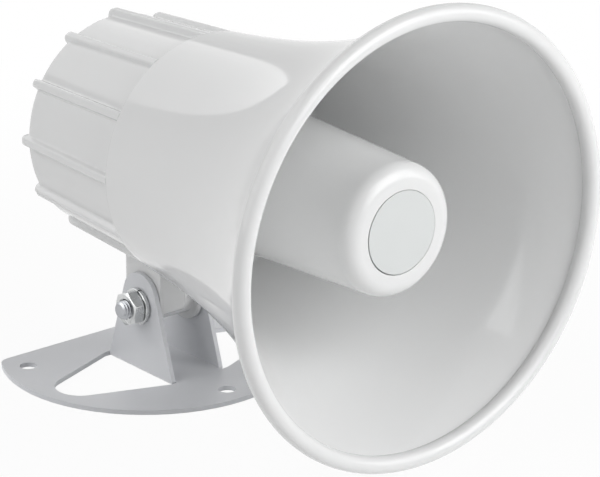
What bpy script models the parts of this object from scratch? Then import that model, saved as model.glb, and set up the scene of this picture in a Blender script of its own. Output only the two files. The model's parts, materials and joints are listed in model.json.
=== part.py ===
"""Small PA horn speaker: a re-entrant horn on a folded steel tilt bracket.

Metres, +Z up. The origin is on the underside of the bracket, straight below the
tilt bolt. The horn faces -Y and tilts about the bolt, which lies along X.

The horn's own pieces are turned about the horn's axis, in a frame whose local Z
runs forward from the bolt's station, so every height given for them is a
distance ahead of the bolt, and local Y points up.
"""

import math

import bmesh
import bpy
from mathutils import Matrix, Vector

MM = 0.001

# Clearances
GAP = 0.3 * MM                    # between pieces that seat on each other
HOLE_PLAY = 0.3 * MM              # round a shank in its hole
WELD = 0.001 * MM                 # merge distance for seams

# Horn flare and rim
RIM_RADIUS = 70.0 * MM
RIM_ROLL = 2.7 * MM               # radius of the rolled lip
RIM_PLANE = 122.0 * MM
COLLAR_RADIUS = 39.2 * MM
COLLAR_EDGE = 0.5 * MM
SEAM = 22.0 * MM                  # joint between the horn and its rear cover
FLARE_LENGTH = 52.5 * MM          # growth length of the exponential flare
BELL_WALL = 2.4 * MM
AXIS_RISE = 54.0 * MM             # horn axis above the tilt bolt

# Bulkhead between the horn and the driver chamber
BULKHEAD_REAR = 25.0 * MM
BULKHEAD_WALL = 2.5 * MM
BULKHEAD_FILLET = 3.0 * MM
POST_LENGTH = 13.0 * MM

# Reflector cup
CUP_SETBACK = 12.2 * MM           # face of the cup behind the lip
CUP_LENGTH = 68.5 * MM
CUP_FRONT_RADIUS = 20.2 * MM
CUP_REAR_RADIUS = 23.3 * MM
CUP_WALL = 2.0 * MM
CUP_EDGE = 6.0 * MM               # rounding of the cup's front edge
CUP_BOSS_RADIUS = 4.6 * MM
CUP_BOSS_LENGTH = 5.7 * MM
DISC_RADIUS = 13.0 * MM
DISC_THICKNESS = 1.2 * MM
DISC_EDGE = 0.25 * MM
HEAD_POCKET_DEPTH = 2.0 * MM

# Throat tube
THROAT_RADIUS = 7.0 * MM
TUBE_WALL = 1.6 * MM
TUBE_MOUTH_RADIUS = 12.0 * MM
TUBE_MOUTH = 96.0 * MM
TUBE_FLANGE_RADIUS = 13.0 * MM
TUBE_FLANGE = 2.0 * MM
HUB_RADIUS = 3.4 * MM
VANE_COUNT = 3
VANE_LENGTH = 12.0 * MM
VANE_THICKNESS = 1.5 * MM

# Rear cover
COVER_LENGTH = 47.0 * MM
COVER_DRAFT = math.radians(3.04)  # taper of the cover's side
COVER_WALL = 2.2 * MM
COVER_EDGE = 1.5 * MM
COVER_SPIGOT = 1.5 * MM           # length that slides under the collar
RIB_COUNT = 12
RIB_WIDTH = 3.3 * MM
RIB_HEIGHT = 2.2 * MM             # brings the ribs' crests flush with the collar
RIB_EDGE = 0.7 * MM
RIB_NOSE = 1.8 * MM               # how far a rib's end stands behind the cover
RIB_NOSE_RADIUS = 3.0 * MM
SEAL_THICKNESS = 0.9 * MM
SEAL_WIDTH = 2.0 * MM

# Cover screws in their bosses
SCREW_RADIUS = 1.25 * MM
SCREW_HEAD_RADIUS = 2.6 * MM
SCREW_HEAD = 1.8 * MM
COVER_SCREW_BITE = 10.0 * MM      # length of shank inside the horn's post
BOSS_RADIUS = 2.7 * MM
POCKET_DEPTH = 2.4 * MM
POCKET_WALL = 1.5 * MM
POCKET_BITE = 0.6 * MM            # how far the pockets' walls reach into the cover's side

# Cable grommet
GROMMET_DROP = 17.0 * MM          # below the horn's axis
GROMMET_NECK = 3.3 * MM
GROMMET_FLANGE_RADIUS = 5.2 * MM
GROMMET_FLANGE = 1.5 * MM
GROMMET_BORE = 1.6 * MM

# Pedestal under the rear cover
PIVOT_HEIGHT = 22.8 * MM
BLOCK_DEPTH = 2.0 * MM            # bottom of the block below the bolt's axis
BLOCK_FAR = 1.8 * MM
BLOCK_FRONT = 8.6 * MM
BLOCK_REAR = 10.2 * MM
BLOCK_EDGE = 1.2 * MM
BARREL_RADIUS = 6.0 * MM
CHEEK_RADIUS = 8.6 * MM
CHEEK_THICKNESS = 1.7 * MM

# Tilt bracket
SHEET = 1.5 * MM
EAR_GAP = 17.6 * MM               # between the ears' inner faces
EAR_RADIUS = 8.4 * MM
EAR_CROWN = 2.4 * MM              # centre of the ear's round tip above the bolt
EAR_FOOT = 16.4 * MM              # half the ear's width at the base plate
BEND_INNER = 0.3 * MM
BEND_SINK = 0.04 * MM             # sets each fold's faces just inside the plate's
PLATE_RADIUS = 48.2 * MM
PLATE_CENTRE = 8.6 * MM           # centre of the plate's arc behind the bolt
PLATE_BACK = 33.2 * MM
PLATE_CORNER = 4.5 * MM
MOUNT_HOLE = 2.8 * MM
MOUNT_CIRCLE = 40.2 * MM
MOUNT_REAR_ANGLE = math.radians(22.0)
CUTOUT_PLAY = 0.5 * MM            # punched opening round the unfolded ear
BEND_SHORTENING = 0.4 * MM
RELIEF_WIDTH = 1.0 * MM

# Tilt hardware, M6
BOLT_RADIUS = 3.0 * MM
BOLT_EDGE = 0.6 * MM
BOLT_PROUD = 2.0 * MM             # threaded end past the nut
HEX_FLATS = 10.0 * MM
NUT_HEIGHT = 4.0 * MM
HEAD_HEIGHT = 4.0 * MM
HEX_ANGLE = math.radians(12.0)
SPRING_WASHER_RADIUS = 5.9 * MM
SPRING_WASHER = 1.5 * MM
SPRING_WASHER_SPLIT = 0.9 * MM
FLAT_WASHER_RADIUS = 6.2 * MM
FLAT_WASHER = 1.2 * MM

# Compression driver
DRIVER_PLAY = 0.6 * MM            # between the driver's flange and the cover's bosses
FLANGE_THICKNESS = 2.5 * MM
HEAD_PLAY = 2.1 * MM              # between the driver screws' heads and the chamber
CHAMBER_WALL = 2.0 * MM
CHAMBER_DEPTH = 5.3 * MM
GASKET_BORE = 9.0 * MM
GASKET_THICKNESS = 0.8 * MM
FLANGE_MARGIN = 2.8 * MM          # from the driver screws to the flange's edge
DRIVER_SCREW_RADIUS = 1.0 * MM
DRIVER_HEAD_RADIUS = 1.8 * MM
DRIVER_HEAD = 1.3 * MM
DRIVER_SCREW_BITE = 1.4 * MM
POLE_RADIUS = 9.4 * MM
COIL_THICKNESS = 0.4 * MM
COIL_LENGTH = 5.0 * MM
TOP_PLATE = 3.5 * MM
MAGNET_OVERHANG = 1.0 * MM        # beyond the chamber
MAGNET_INSET = 1.9 * MM           # magnet's bore outside the top plate's
MAGNET_THICKNESS = 8.0 * MM
BACK_PLATE = 3.0 * MM
DOME_RISE = 3.2 * MM
DOME_SKIN = 0.5 * MM
PLUG_RING = 3.2 * MM
PLUG_THICKNESS = 0.8 * MM
PLUG_RADIUS = 5.0 * MM
PLUG_LENGTH = 7.0 * MM
STRIP_SIZE = (18.0 * MM, 7.0 * MM, 1.2 * MM)
LUG_SIZE = (2.8 * MM, 5.0 * MM, 0.5 * MM)
LUG_SPACING = 9.0 * MM

# Facets
ROUND_COUNT = 48
MEDIUM_COUNT = 36
DRIVER_COUNT = 24
SMALL_COUNT = 16
TINY_COUNT = 10
SHARP_ANGLE = math.radians(32.0)

# Sizes that follow from those above
LIP = RIM_PLANE + RIM_ROLL
FLARE_END = RIM_PLANE - RIM_ROLL
FLARE_RISE = (RIM_RADIUS - RIM_ROLL - COLLAR_RADIUS) / (
    math.exp((FLARE_END - SEAM) / FLARE_LENGTH) - 1.0
)
SPIGOT_END = SEAM + COVER_SPIGOT
BULKHEAD_FRONT = BULKHEAD_REAR + BULKHEAD_WALL
COVER_REAR = SEAM - COVER_LENGTH
COVER_FLOOR = COVER_REAR + COVER_WALL
COVER_TAPER = math.tan(COVER_DRAFT)
COVER_FRONT_RADIUS = COLLAR_RADIUS - RIB_HEIGHT
COVER_REAR_RADIUS = COVER_FRONT_RADIUS - COVER_LENGTH * COVER_TAPER
HEAD_POCKET = SCREW_HEAD_RADIUS + GAP
SEAT_RADIUS = HEAD_POCKET + POCKET_WALL
COVER_SCREW_CIRCLE = COVER_REAR_RADIUS - COVER_WALL + POCKET_BITE - SEAT_RADIUS
FLANGE_RADIUS = COVER_SCREW_CIRCLE - BOSS_RADIUS - DRIVER_PLAY
DRIVER_SCREW_CIRCLE = FLANGE_RADIUS - FLANGE_MARGIN
CHAMBER_RADIUS = DRIVER_SCREW_CIRCLE - DRIVER_HEAD_RADIUS - HEAD_PLAY
CUP_FACE = LIP - CUP_SETBACK
CUP_REAR = CUP_FACE - CUP_LENGTH
DISC_SEAT = CUP_FACE - DISC_THICKNESS - GAP
HEAD_SEAT = DISC_SEAT - HEAD_POCKET_DEPTH
BOSS_FACE = HEAD_SEAT - CUP_BOSS_LENGTH
HUB_FACE = BOSS_FACE - GAP
SHANK_HOLE = SCREW_RADIUS + HOLE_PLAY
PILOT_RADIUS = DRIVER_SCREW_RADIUS + HOLE_PLAY
EAR_OUTER = EAR_GAP / 2 + SHEET
BOLT_HOLE = BOLT_RADIUS + HOLE_PLAY
EAR_RISE = PIVOT_HEIGHT + EAR_CROWN - SHEET
BEND_RADIUS = BEND_INNER + SHEET
POST_END = BULKHEAD_REAR - POST_LENGTH
BOSS_END = POST_END - GAP
POCKET_FLOOR = COVER_REAR + POCKET_DEPTH
GASKET_FACE = BULKHEAD_REAR - GAP
FLANGE_FACE = GASKET_FACE - GASKET_THICKNESS - GAP
FLANGE_REAR = FLANGE_FACE - FLANGE_THICKNESS
CHAMBER_END = FLANGE_REAR - CHAMBER_DEPTH
TOP_PLATE_FACE = CHAMBER_END - GAP
TOP_PLATE_REAR = TOP_PLATE_FACE - TOP_PLATE
MAGNET_FACE = TOP_PLATE_REAR - GAP
MAGNET_REAR = MAGNET_FACE - MAGNET_THICKNESS
YOKE_FACE = MAGNET_REAR - GAP
YOKE_REAR = YOKE_FACE - BACK_PLATE
COIL_INNER = POLE_RADIUS + GAP
COIL_OUTER = COIL_INNER + COIL_THICKNESS
COIL_HOLE = COIL_OUTER + GAP
MAGNET_RADIUS = CHAMBER_RADIUS + MAGNET_OVERHANG
MAGNET_BORE = COIL_HOLE + MAGNET_INSET
TOP_PLATE_RADIUS = CHAMBER_RADIUS - GAP
CHAMBER_BORE = CHAMBER_RADIUS - CHAMBER_WALL


def clear_scene():
    """Remove whatever the scene holds, so that the script can be run again."""
    for obj in list(bpy.data.objects):
        bpy.data.objects.remove(obj, do_unlink=True)


def new_collection(name):
    """A collection under the scene's own."""
    collection = bpy.data.collections.new(name)
    bpy.context.scene.collection.children.link(collection)
    return collection


def new_material(name, color, roughness, metallic=0.0):
    """A Principled material with one colour."""
    material = bpy.data.materials.new(name)
    material.use_nodes = True
    shader = material.node_tree.nodes["Principled BSDF"]
    shader.inputs["Base Color"].default_value = (*color, 1.0)
    shader.inputs["Roughness"].default_value = roughness
    shader.inputs["Metallic"].default_value = metallic
    material.diffuse_color = (*color, 1.0)
    return material


def add_object(name, mesh, collection, parent=None):
    """Link a mesh as an object, in its parent's frame."""
    obj = bpy.data.objects.new(name, mesh)
    collection.objects.link(obj)
    obj.parent = parent
    return obj


def add_empty(name, location, rotation, parent=None):
    """A frame that other objects are placed in."""
    empty = bpy.data.objects.new(name, None)
    bpy.context.scene.collection.objects.link(empty)
    empty.location = location
    empty.rotation_euler = rotation
    empty.parent = parent
    return empty


def arc(centre, radius, start, end, steps):
    """Points on an arc, angles in degrees from the first axis towards the second."""
    points = []
    for step in range(steps + 1):
        angle = math.radians(start + (end - start) * step / steps)
        points.append((centre[0] + radius * math.cos(angle), centre[1] + radius * math.sin(angle)))
    return points


def circle(centre, radius, steps):
    """Points once round a circle."""
    return arc(centre, radius, 0.0, 360.0, steps)[:-1]


def turned(name, profile, steps, collection, parent=None, closed=True):
    """Turn a profile of (radius, height) points about local Z.

    The outer side of the profile runs from top to bottom. An open profile starts
    and ends on the axis.
    """
    mesh = bpy.data.meshes.new(name)
    points = [(radius, 0.0, height) for radius, height in profile]
    edges = [(i, i + 1) for i in range(len(points) - 1)]
    if closed:
        edges.append((len(points) - 1, 0))
    mesh.from_pydata(points, edges, [])
    obj = add_object(name, mesh, collection, parent)
    screw = obj.modifiers.new("Turn", "SCREW")
    screw.axis = "Z"
    screw.steps = steps
    screw.render_steps = steps
    screw.use_merge_vertices = True
    screw.merge_threshold = WELD
    return obj


def ring_profile(inner, outer, bottom, top):
    """Section of a plain ring."""
    return [(inner, top), (outer, top), (outer, bottom), (inner, bottom)]


def extruded(name, outlines, depth, collection, parent=None):
    """Extrude a flat outline up local Z; any outlines after the first are holes in it."""
    curve = bpy.data.curves.new(name, "CURVE")
    curve.dimensions = "2D"
    curve.fill_mode = "BOTH"
    curve.extrude = depth / 2
    for outline in outlines:
        spline = curve.splines.new("POLY")
        spline.points.add(len(outline) - 1)
        for point, (x, y) in zip(spline.points, outline):
            point.co = (x, y, 0.0, 1.0)
        spline.use_cyclic_u = True
    flat = add_object(name + "_outline", curve, collection)
    graph = bpy.context.evaluated_depsgraph_get()
    mesh = bpy.data.meshes.new_from_object(flat.evaluated_get(graph))
    bpy.data.objects.remove(flat)
    shape = bmesh.new()
    shape.from_mesh(mesh)
    bmesh.ops.remove_doubles(shape, verts=shape.verts, dist=WELD)
    bmesh.ops.recalc_face_normals(shape, faces=shape.faces)
    bmesh.ops.translate(shape, verts=shape.verts, vec=(0.0, 0.0, depth / 2))
    shape.to_mesh(mesh)
    shape.free()
    return add_object(name, mesh, collection, parent)


def rods(name, radius, bottom, top, centres, segments, collection, parent=None):
    """Round rods along local Z, one at each centre."""
    shape = bmesh.new()
    for x, y in centres:
        middle = Matrix.Translation((x, y, (bottom + top) / 2))
        bmesh.ops.create_cone(
            shape, cap_ends=True, segments=segments, radius1=radius, radius2=radius,
            depth=top - bottom, matrix=middle,
        )
    mesh = bpy.data.meshes.new(name)
    shape.to_mesh(mesh)
    shape.free()
    return add_object(name, mesh, collection, parent)


def block(name, low, high, collection, parent=None, edge=0.0):
    """A box between two corners, with rounded edges where edge is given."""
    shape = bmesh.new()
    bmesh.ops.create_cube(shape, size=1.0)
    low = Vector(low)
    high = Vector(high)
    for vert in shape.verts:
        vert.co = (vert.co + Vector((0.5, 0.5, 0.5))) * (high - low) + low
    mesh = bpy.data.meshes.new(name)
    shape.to_mesh(mesh)
    shape.free()
    obj = add_object(name, mesh, collection, parent)
    if edge:
        add_bevel(obj, edge)
    return obj


def add_bevel(obj, width, segments=2):
    """Round the sharp edges of an object."""
    bevel = obj.modifiers.new("Edges", "BEVEL")
    bevel.width = width
    bevel.segments = segments
    bevel.limit_method = "ANGLE"


def combine(target, tool, operation):
    """Add a Boolean of the tool to the target."""
    boolean = target.modifiers.new(tool.name, "BOOLEAN")
    boolean.operation = operation
    boolean.object = tool


def ring_of(count, radius, start):
    """Centres evenly spaced on a circle, the first at an angle in degrees."""
    angles = [math.radians(start + 360.0 * i / count) for i in range(count)]
    return [(radius * math.cos(angle), radius * math.sin(angle)) for angle in angles]


def copies(name, source, matrices, collection, parent=None):
    """One object that holds a copy of the source's mesh at each matrix."""
    shape = bmesh.new()
    for matrix in matrices:
        before = len(shape.verts)
        shape.from_mesh(source.data)
        shape.verts.ensure_lookup_table()
        bmesh.ops.transform(shape, matrix=matrix, verts=shape.verts[before:])
    mesh = bpy.data.meshes.new(name)
    shape.to_mesh(mesh)
    shape.free()
    bpy.data.objects.remove(source)
    return add_object(name, mesh, collection, parent)


def finish_part(obj, material):
    """Apply a part's modifiers, shade it smooth between its sharp edges and colour it."""
    graph = bpy.context.evaluated_depsgraph_get()
    mesh = bpy.data.meshes.new_from_object(obj.evaluated_get(graph))
    obj.modifiers.clear()
    obj.data = mesh
    mesh.name = obj.name
    mesh.materials.clear()
    mesh.materials.append(material)
    mesh.shade_smooth()
    mesh.set_sharp_from_angle(angle=SHARP_ANGLE)


def flare_radius(station):
    """Outer radius of the exponential flare at a distance ahead of the bolt."""
    return COLLAR_RADIUS + FLARE_RISE * (math.exp((station - SEAM) / FLARE_LENGTH) - 1.0)


def flare_inner(station):
    """Point on the flare's inner side, one wall in along the outer side's normal."""
    slope = FLARE_RISE / FLARE_LENGTH * math.exp((station - SEAM) / FLARE_LENGTH)
    length = math.hypot(1.0, slope)
    return (flare_radius(station) - BELL_WALL / length, station + BELL_WALL * slope / length)


def cover_radius(station):
    """Outer radius of the tapered rear cover."""
    return COVER_FRONT_RADIUS - (SEAM - station) * COVER_TAPER


def tube_radius(station):
    """Bore of the throat tube, which opens evenly from the throat to its mouth."""
    share = (station - BULKHEAD_REAR) / (TUBE_MOUTH - BULKHEAD_REAR)
    return THROAT_RADIUS + (TUBE_MOUTH_RADIUS - THROAT_RADIUS) * share


def make_horn_bell(parts, tools, axis):
    """Flared horn with its rolled rim, collar, bulkhead and the posts for the cover screws."""
    stations = 7
    first = BULKHEAD_FRONT + BULKHEAD_FILLET
    last = FLARE_END - 0.5 * RIM_ROLL
    crown = (RIM_RADIUS - RIM_ROLL, RIM_PLANE)
    inside = flare_inner(last)
    meet = math.degrees(math.atan2(inside[1] - crown[1], inside[0] - crown[0])) % 360.0
    profile = arc(crown, RIM_ROLL, meet, -90.0, 9)
    for i in range(stations):
        station = last + (SEAM + COLLAR_EDGE - last) * i / (stations - 1)
        profile.append((flare_radius(station), station))
    skirt = COVER_FRONT_RADIUS + GAP
    hole = THROAT_RADIUS + TUBE_WALL + GAP
    root = flare_inner(first)
    profile.append((COLLAR_RADIUS - COLLAR_EDGE, SEAM))
    profile.append((skirt, SEAM))
    profile.append((skirt, BULKHEAD_REAR))
    profile.append((hole, BULKHEAD_REAR))
    profile.append((hole, BULKHEAD_FRONT))
    profile.extend(arc((root[0] - BULKHEAD_FILLET, first), BULKHEAD_FILLET, -90.0, -30.0, 2))
    for i in range(stations):
        profile.append(flare_inner(first + (last - first) * i / (stations - 1)))
    bell = turned("horn_bell", profile, ROUND_COUNT, parts, axis)

    centres = ring_of(4, COVER_SCREW_CIRCLE, 45.0)
    middle = BULKHEAD_REAR + BULKHEAD_WALL / 2
    posts = rods("bell_posts", BOSS_RADIUS, POST_END, middle, centres, TINY_COUNT, tools, axis)
    depth = BULKHEAD_REAR - GAP
    holes = rods("bell_post_holes", SHANK_HOLE, POST_END - GAP, depth, centres, TINY_COUNT, tools, axis)
    combine(bell, posts, "UNION")
    combine(bell, holes, "DIFFERENCE")
    pilots = ring_of(4, DRIVER_SCREW_CIRCLE, 0.0)
    depth = BULKHEAD_REAR + DRIVER_SCREW_BITE + GAP
    pilot_holes = rods(
        "bell_pilot_holes", PILOT_RADIUS, BULKHEAD_REAR - GAP, depth, pilots, TINY_COUNT, tools, axis
    )
    combine(bell, pilot_holes, "DIFFERENCE")
    return bell


def make_throat_tube(parts, tools, axis):
    """Tapered tube from the driver to the cup, with a vaned hub in its mouth."""
    foot = BULKHEAD_FRONT + GAP
    flange_top = foot + TUBE_FLANGE
    entry = BULKHEAD_REAR + GAP
    profile = [
        (TUBE_MOUTH_RADIUS, TUBE_MOUTH),
        (TUBE_MOUTH_RADIUS + TUBE_WALL, TUBE_MOUTH),
        (tube_radius(flange_top) + TUBE_WALL, flange_top),
        (TUBE_FLANGE_RADIUS, flange_top),
        (TUBE_FLANGE_RADIUS, foot),
        (THROAT_RADIUS + TUBE_WALL, foot),
        (THROAT_RADIUS + TUBE_WALL, entry),
        (THROAT_RADIUS, entry),
    ]
    tube = turned("throat_tube", profile, DRIVER_COUNT, parts, axis)
    vane_start = TUBE_MOUTH - VANE_LENGTH
    hub = rods("tube_hub", HUB_RADIUS, vane_start - GAP, HUB_FACE, [(0.0, 0.0)], SMALL_COUNT, tools, axis)
    combine(tube, hub, "UNION")
    for i in range(VANE_COUNT):
        reach = tube_radius(vane_start) + TUBE_WALL / 2
        low = (HUB_RADIUS / 2, -VANE_THICKNESS / 2, vane_start)
        vane = block(f"tube_vane_{i + 1}", low, (reach, VANE_THICKNESS / 2, TUBE_MOUTH - GAP), tools, axis)
        vane.rotation_euler[2] = math.radians(90.0 + 360.0 * i / VANE_COUNT)
        combine(tube, vane, "UNION")
    depth = vane_start + VANE_THICKNESS
    hole = rods("tube_hub_hole", SHANK_HOLE, depth, HUB_FACE + GAP, [(0.0, 0.0)], TINY_COUNT, tools, axis)
    combine(tube, hole, "DIFFERENCE")
    return tube


def make_reflector_cup(parts, axis):
    """Round-edged cup that turns the sound back into the horn, recessed for its disc."""
    inner_edge = CUP_EDGE - CUP_WALL
    floor = DISC_SEAT - CUP_WALL
    recess = DISC_RADIUS + GAP
    pocket = SCREW_HEAD_RADIUS + 2 * GAP
    profile = [
        (SHANK_HOLE, HEAD_SEAT),
        (pocket, HEAD_SEAT),
        (pocket, DISC_SEAT),
        (recess, DISC_SEAT),
        (recess, CUP_FACE),
    ]
    profile.extend(arc((CUP_FRONT_RADIUS - CUP_EDGE, CUP_FACE - CUP_EDGE), CUP_EDGE, 90.0, 0.0, 5))
    profile.append((CUP_REAR_RADIUS, CUP_REAR))
    profile.append((CUP_REAR_RADIUS - CUP_WALL, CUP_REAR))
    inner = (CUP_FRONT_RADIUS - CUP_EDGE, floor - inner_edge)
    profile.extend(arc(inner, inner_edge, 0.0, 90.0, 2))
    profile.append((CUP_BOSS_RADIUS, floor))
    profile.append((CUP_BOSS_RADIUS, BOSS_FACE))
    profile.append((SHANK_HOLE, BOSS_FACE))
    return turned("reflector_cup", profile, MEDIUM_COUNT, parts, axis)


def make_cup_disc(parts, axis):
    """Plain disc that covers the cup's screw, flush with the cup's face."""
    top = CUP_FACE
    profile = [
        (0.0, top),
        (DISC_RADIUS - DISC_EDGE, top),
        (DISC_RADIUS, top - DISC_EDGE),
        (DISC_RADIUS, top - DISC_THICKNESS),
        (0.0, top - DISC_THICKNESS),
    ]
    return turned("cup_disc", profile, MEDIUM_COUNT, parts, axis, closed=False)


def screw_profile(shank, head, head_height, seat, tip):
    """Section of a pan-head screw whose head stands forward of its seat."""
    crown = head_height * 0.4
    return [
        (0.0, seat + head_height),
        (head - crown, seat + head_height),
        (head, seat + head_height - crown),
        (head, seat),
        (shank, seat),
        (shank, tip + shank),
        (0.0, tip),
    ]


def make_screw(name, sizes, seat, tip, centre, forward, parts, axis):
    """A pan-head screw; one that does not face forward has its head at the rear."""
    shank, head, head_height = sizes
    if forward:
        profile = screw_profile(shank, head, head_height, seat, tip)
    else:
        profile = screw_profile(shank, head, head_height, -seat, -tip)
    screw = turned(name, profile, TINY_COUNT, parts, axis, closed=False)
    screw.location = (centre[0], centre[1], 0.0)
    if not forward:
        screw.rotation_euler[0] = math.pi
    return screw


def rib_outline():
    """Side view of one rib, as (station, radius): straight top and a rounded nose behind."""
    buried = COVER_REAR_RADIUS - 2 * COVER_WALL
    front = SEAM - GAP
    bend = COVER_REAR - RIB_NOSE + RIB_NOSE_RADIUS
    crest = cover_radius(bend) + RIB_HEIGHT
    heel = crest - RIB_NOSE_RADIUS - RIB_NOSE / 3
    wall = COVER_REAR + COVER_WALL / 2
    points = [(wall, buried), (front, buried), (front, cover_radius(front) + RIB_HEIGHT)]
    points.extend(arc((bend, crest - RIB_NOSE_RADIUS), RIB_NOSE_RADIUS, 90.0, 180.0, 3))
    points.extend(arc((COVER_REAR, heel), RIB_NOSE, 180.0, 270.0, 2))
    points.append((wall, heel - RIB_NOSE))
    return points


def make_ribs(tools, axis):
    """All the cover's ribs, evenly spaced with one at the top."""
    rib = extruded("rib", [rib_outline()], RIB_WIDTH, tools)
    upright = Matrix(((0, 1, 0, 0), (0, 0, 1, -RIB_WIDTH / 2), (1, 0, 0, 0), (0, 0, 0, 1)))
    turns = [Matrix.Rotation(2 * math.pi * i / RIB_COUNT, 4, "Z") @ upright for i in range(RIB_COUNT)]
    ribs = copies("cover_ribs", rib, turns, tools, axis)
    add_bevel(ribs, RIB_EDGE, 1)
    return ribs


def make_cheek(name, start, tools, axis):
    """Round-ended cheek of the pedestal, which bears on one ear of the bracket."""
    outline = arc((0.0, -AXIS_RISE), CHEEK_RADIUS, -180.0, 0.0, SMALL_COUNT)
    buried = COVER_WALL - COVER_REAR_RADIUS
    outline.extend([(CHEEK_RADIUS, buried), (-CHEEK_RADIUS, buried)])
    cheek = extruded(name, [outline], CHEEK_THICKNESS, tools, axis)
    cheek.rotation_euler = (0.0, -math.pi / 2, 0.0)
    cheek.location = (start + CHEEK_THICKNESS, 0.0, 0.0)
    return cheek


def make_rear_cover(parts, tools, axis):
    """Ribbed rear cover with the pedestal that carries it on the tilt bolt."""
    profile = [(0.0, SPIGOT_END), (COVER_FRONT_RADIUS, SPIGOT_END), (COVER_FRONT_RADIUS, SEAM)]
    corner = (COVER_REAR_RADIUS - COVER_EDGE, COVER_REAR + COVER_EDGE)
    profile.extend(arc(corner, COVER_EDGE, 0.0, -90.0, 3))
    profile.append((0.0, COVER_REAR))
    cover = turned("rear_cover", profile, ROUND_COUNT, parts, axis, closed=False)
    combine(cover, make_ribs(tools, axis), "UNION")

    buried = COVER_WALL - COVER_REAR_RADIUS
    half = EAR_GAP / 2 - GAP
    low = (-half, -AXIS_RISE - BLOCK_DEPTH, -BLOCK_REAR)
    pedestal = block("pedestal_block", low, (BLOCK_FAR, buried, BLOCK_FRONT), tools, axis, BLOCK_EDGE)
    combine(cover, pedestal, "UNION")
    combine(cover, make_cheek("near_cheek", -half, tools, axis), "UNION")
    combine(cover, make_cheek("far_cheek", half - CHEEK_THICKNESS, tools, axis), "UNION")
    inset = half - CHEEK_THICKNESS / 2
    barrel = rods("pedestal_barrel", BARREL_RADIUS, -inset, inset, [(0.0, 0.0)], DRIVER_COUNT, tools, axis)
    barrel.rotation_euler[1] = math.pi / 2
    barrel.location = (0.0, -AXIS_RISE, 0.0)
    combine(cover, barrel, "UNION")

    hollow = [(0.0, SPIGOT_END + COVER_WALL)]
    hollow.append((COVER_FRONT_RADIUS - COVER_WALL, SPIGOT_END + COVER_WALL))
    hollow.append((COVER_FRONT_RADIUS - COVER_WALL, SEAM))
    hollow.append((cover_radius(COVER_FLOOR) - COVER_WALL, COVER_FLOOR))
    hollow.append((0.0, COVER_FLOOR))
    combine(cover, turned("cover_hollow", hollow, ROUND_COUNT, tools, axis, closed=False), "DIFFERENCE")

    centres = ring_of(4, COVER_SCREW_CIRCLE, 45.0)
    wall = COVER_REAR + COVER_WALL / 2
    bosses = rods("cover_bosses", BOSS_RADIUS, wall, BOSS_END, centres, TINY_COUNT, tools, axis)
    combine(cover, bosses, "UNION")
    seats = rods(
        "boss_seats", SEAT_RADIUS, wall, POCKET_FLOOR + POCKET_WALL, centres, SMALL_COUNT, tools, axis
    )
    combine(cover, seats, "UNION")
    low_end = COVER_REAR - RIB_NOSE
    pockets = rods("head_pockets", HEAD_POCKET, low_end, POCKET_FLOOR, centres, SMALL_COUNT, tools, axis)
    combine(cover, pockets, "DIFFERENCE")
    shanks = rods("shank_holes", SHANK_HOLE, wall, BOSS_END + GAP, centres, TINY_COUNT, tools, axis)
    combine(cover, shanks, "DIFFERENCE")
    place = [(0.0, -GROMMET_DROP)]
    grommet_hole = rods(
        "grommet_hole", GROMMET_NECK + GAP, low_end, COVER_FLOOR + COVER_WALL, place, SMALL_COUNT, tools, axis
    )
    combine(cover, grommet_hole, "DIFFERENCE")
    bore = rods("bolt_bore", BOLT_HOLE, -EAR_OUTER, EAR_OUTER, [(0.0, 0.0)], SMALL_COUNT, tools, axis)
    bore.rotation_euler[1] = math.pi / 2
    bore.location = (0.0, -AXIS_RISE, 0.0)
    combine(cover, bore, "DIFFERENCE")
    return cover


def make_grommet(parts, axis):
    """Flexible grommet in the cover's rear wall, with a bore for the cable."""
    outside = COVER_REAR - GAP
    inside = COVER_FLOOR + GAP
    profile = [
        (GROMMET_BORE, inside + GROMMET_FLANGE),
        (GROMMET_FLANGE_RADIUS - GROMMET_FLANGE / 2, inside + GROMMET_FLANGE),
        (GROMMET_FLANGE_RADIUS, inside),
        (GROMMET_NECK, inside),
        (GROMMET_NECK, outside),
        (GROMMET_FLANGE_RADIUS, outside),
        (GROMMET_FLANGE_RADIUS - GROMMET_FLANGE / 2, outside - GROMMET_FLANGE),
        (GROMMET_BORE, outside - GROMMET_FLANGE),
    ]
    grommet = turned("cable_grommet", profile, SMALL_COUNT, parts, axis)
    grommet.location = (0.0, -GROMMET_DROP, 0.0)
    return grommet


def make_seam_gasket(parts, axis):
    """Seal between the cover's front edge and the bulkhead."""
    back = SPIGOT_END + GAP
    profile = ring_profile(COVER_FRONT_RADIUS - SEAL_WIDTH, COVER_FRONT_RADIUS, back, back + SEAL_THICKNESS)
    return turned("seam_gasket", profile, MEDIUM_COUNT, parts, axis)


def make_front_plate(parts, tools, axis):
    """Driver's front plate: a flange on the bulkhead and a short chamber behind it."""
    profile = [
        (THROAT_RADIUS, FLANGE_FACE),
        (FLANGE_RADIUS, FLANGE_FACE),
        (FLANGE_RADIUS, FLANGE_REAR),
        (CHAMBER_RADIUS, FLANGE_REAR),
        (CHAMBER_RADIUS, CHAMBER_END),
        (CHAMBER_BORE, CHAMBER_END),
        (CHAMBER_BORE, FLANGE_REAR),
        (THROAT_RADIUS, FLANGE_REAR),
    ]
    plate = turned("driver_front_plate", profile, DRIVER_COUNT, parts, axis)
    centres = ring_of(4, DRIVER_SCREW_CIRCLE, 0.0)
    start = FLANGE_REAR - GAP
    holes = rods("flange_holes", PILOT_RADIUS, start, FLANGE_FACE + GAP, centres, TINY_COUNT, tools, axis)
    combine(plate, holes, "DIFFERENCE")
    return plate


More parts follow.
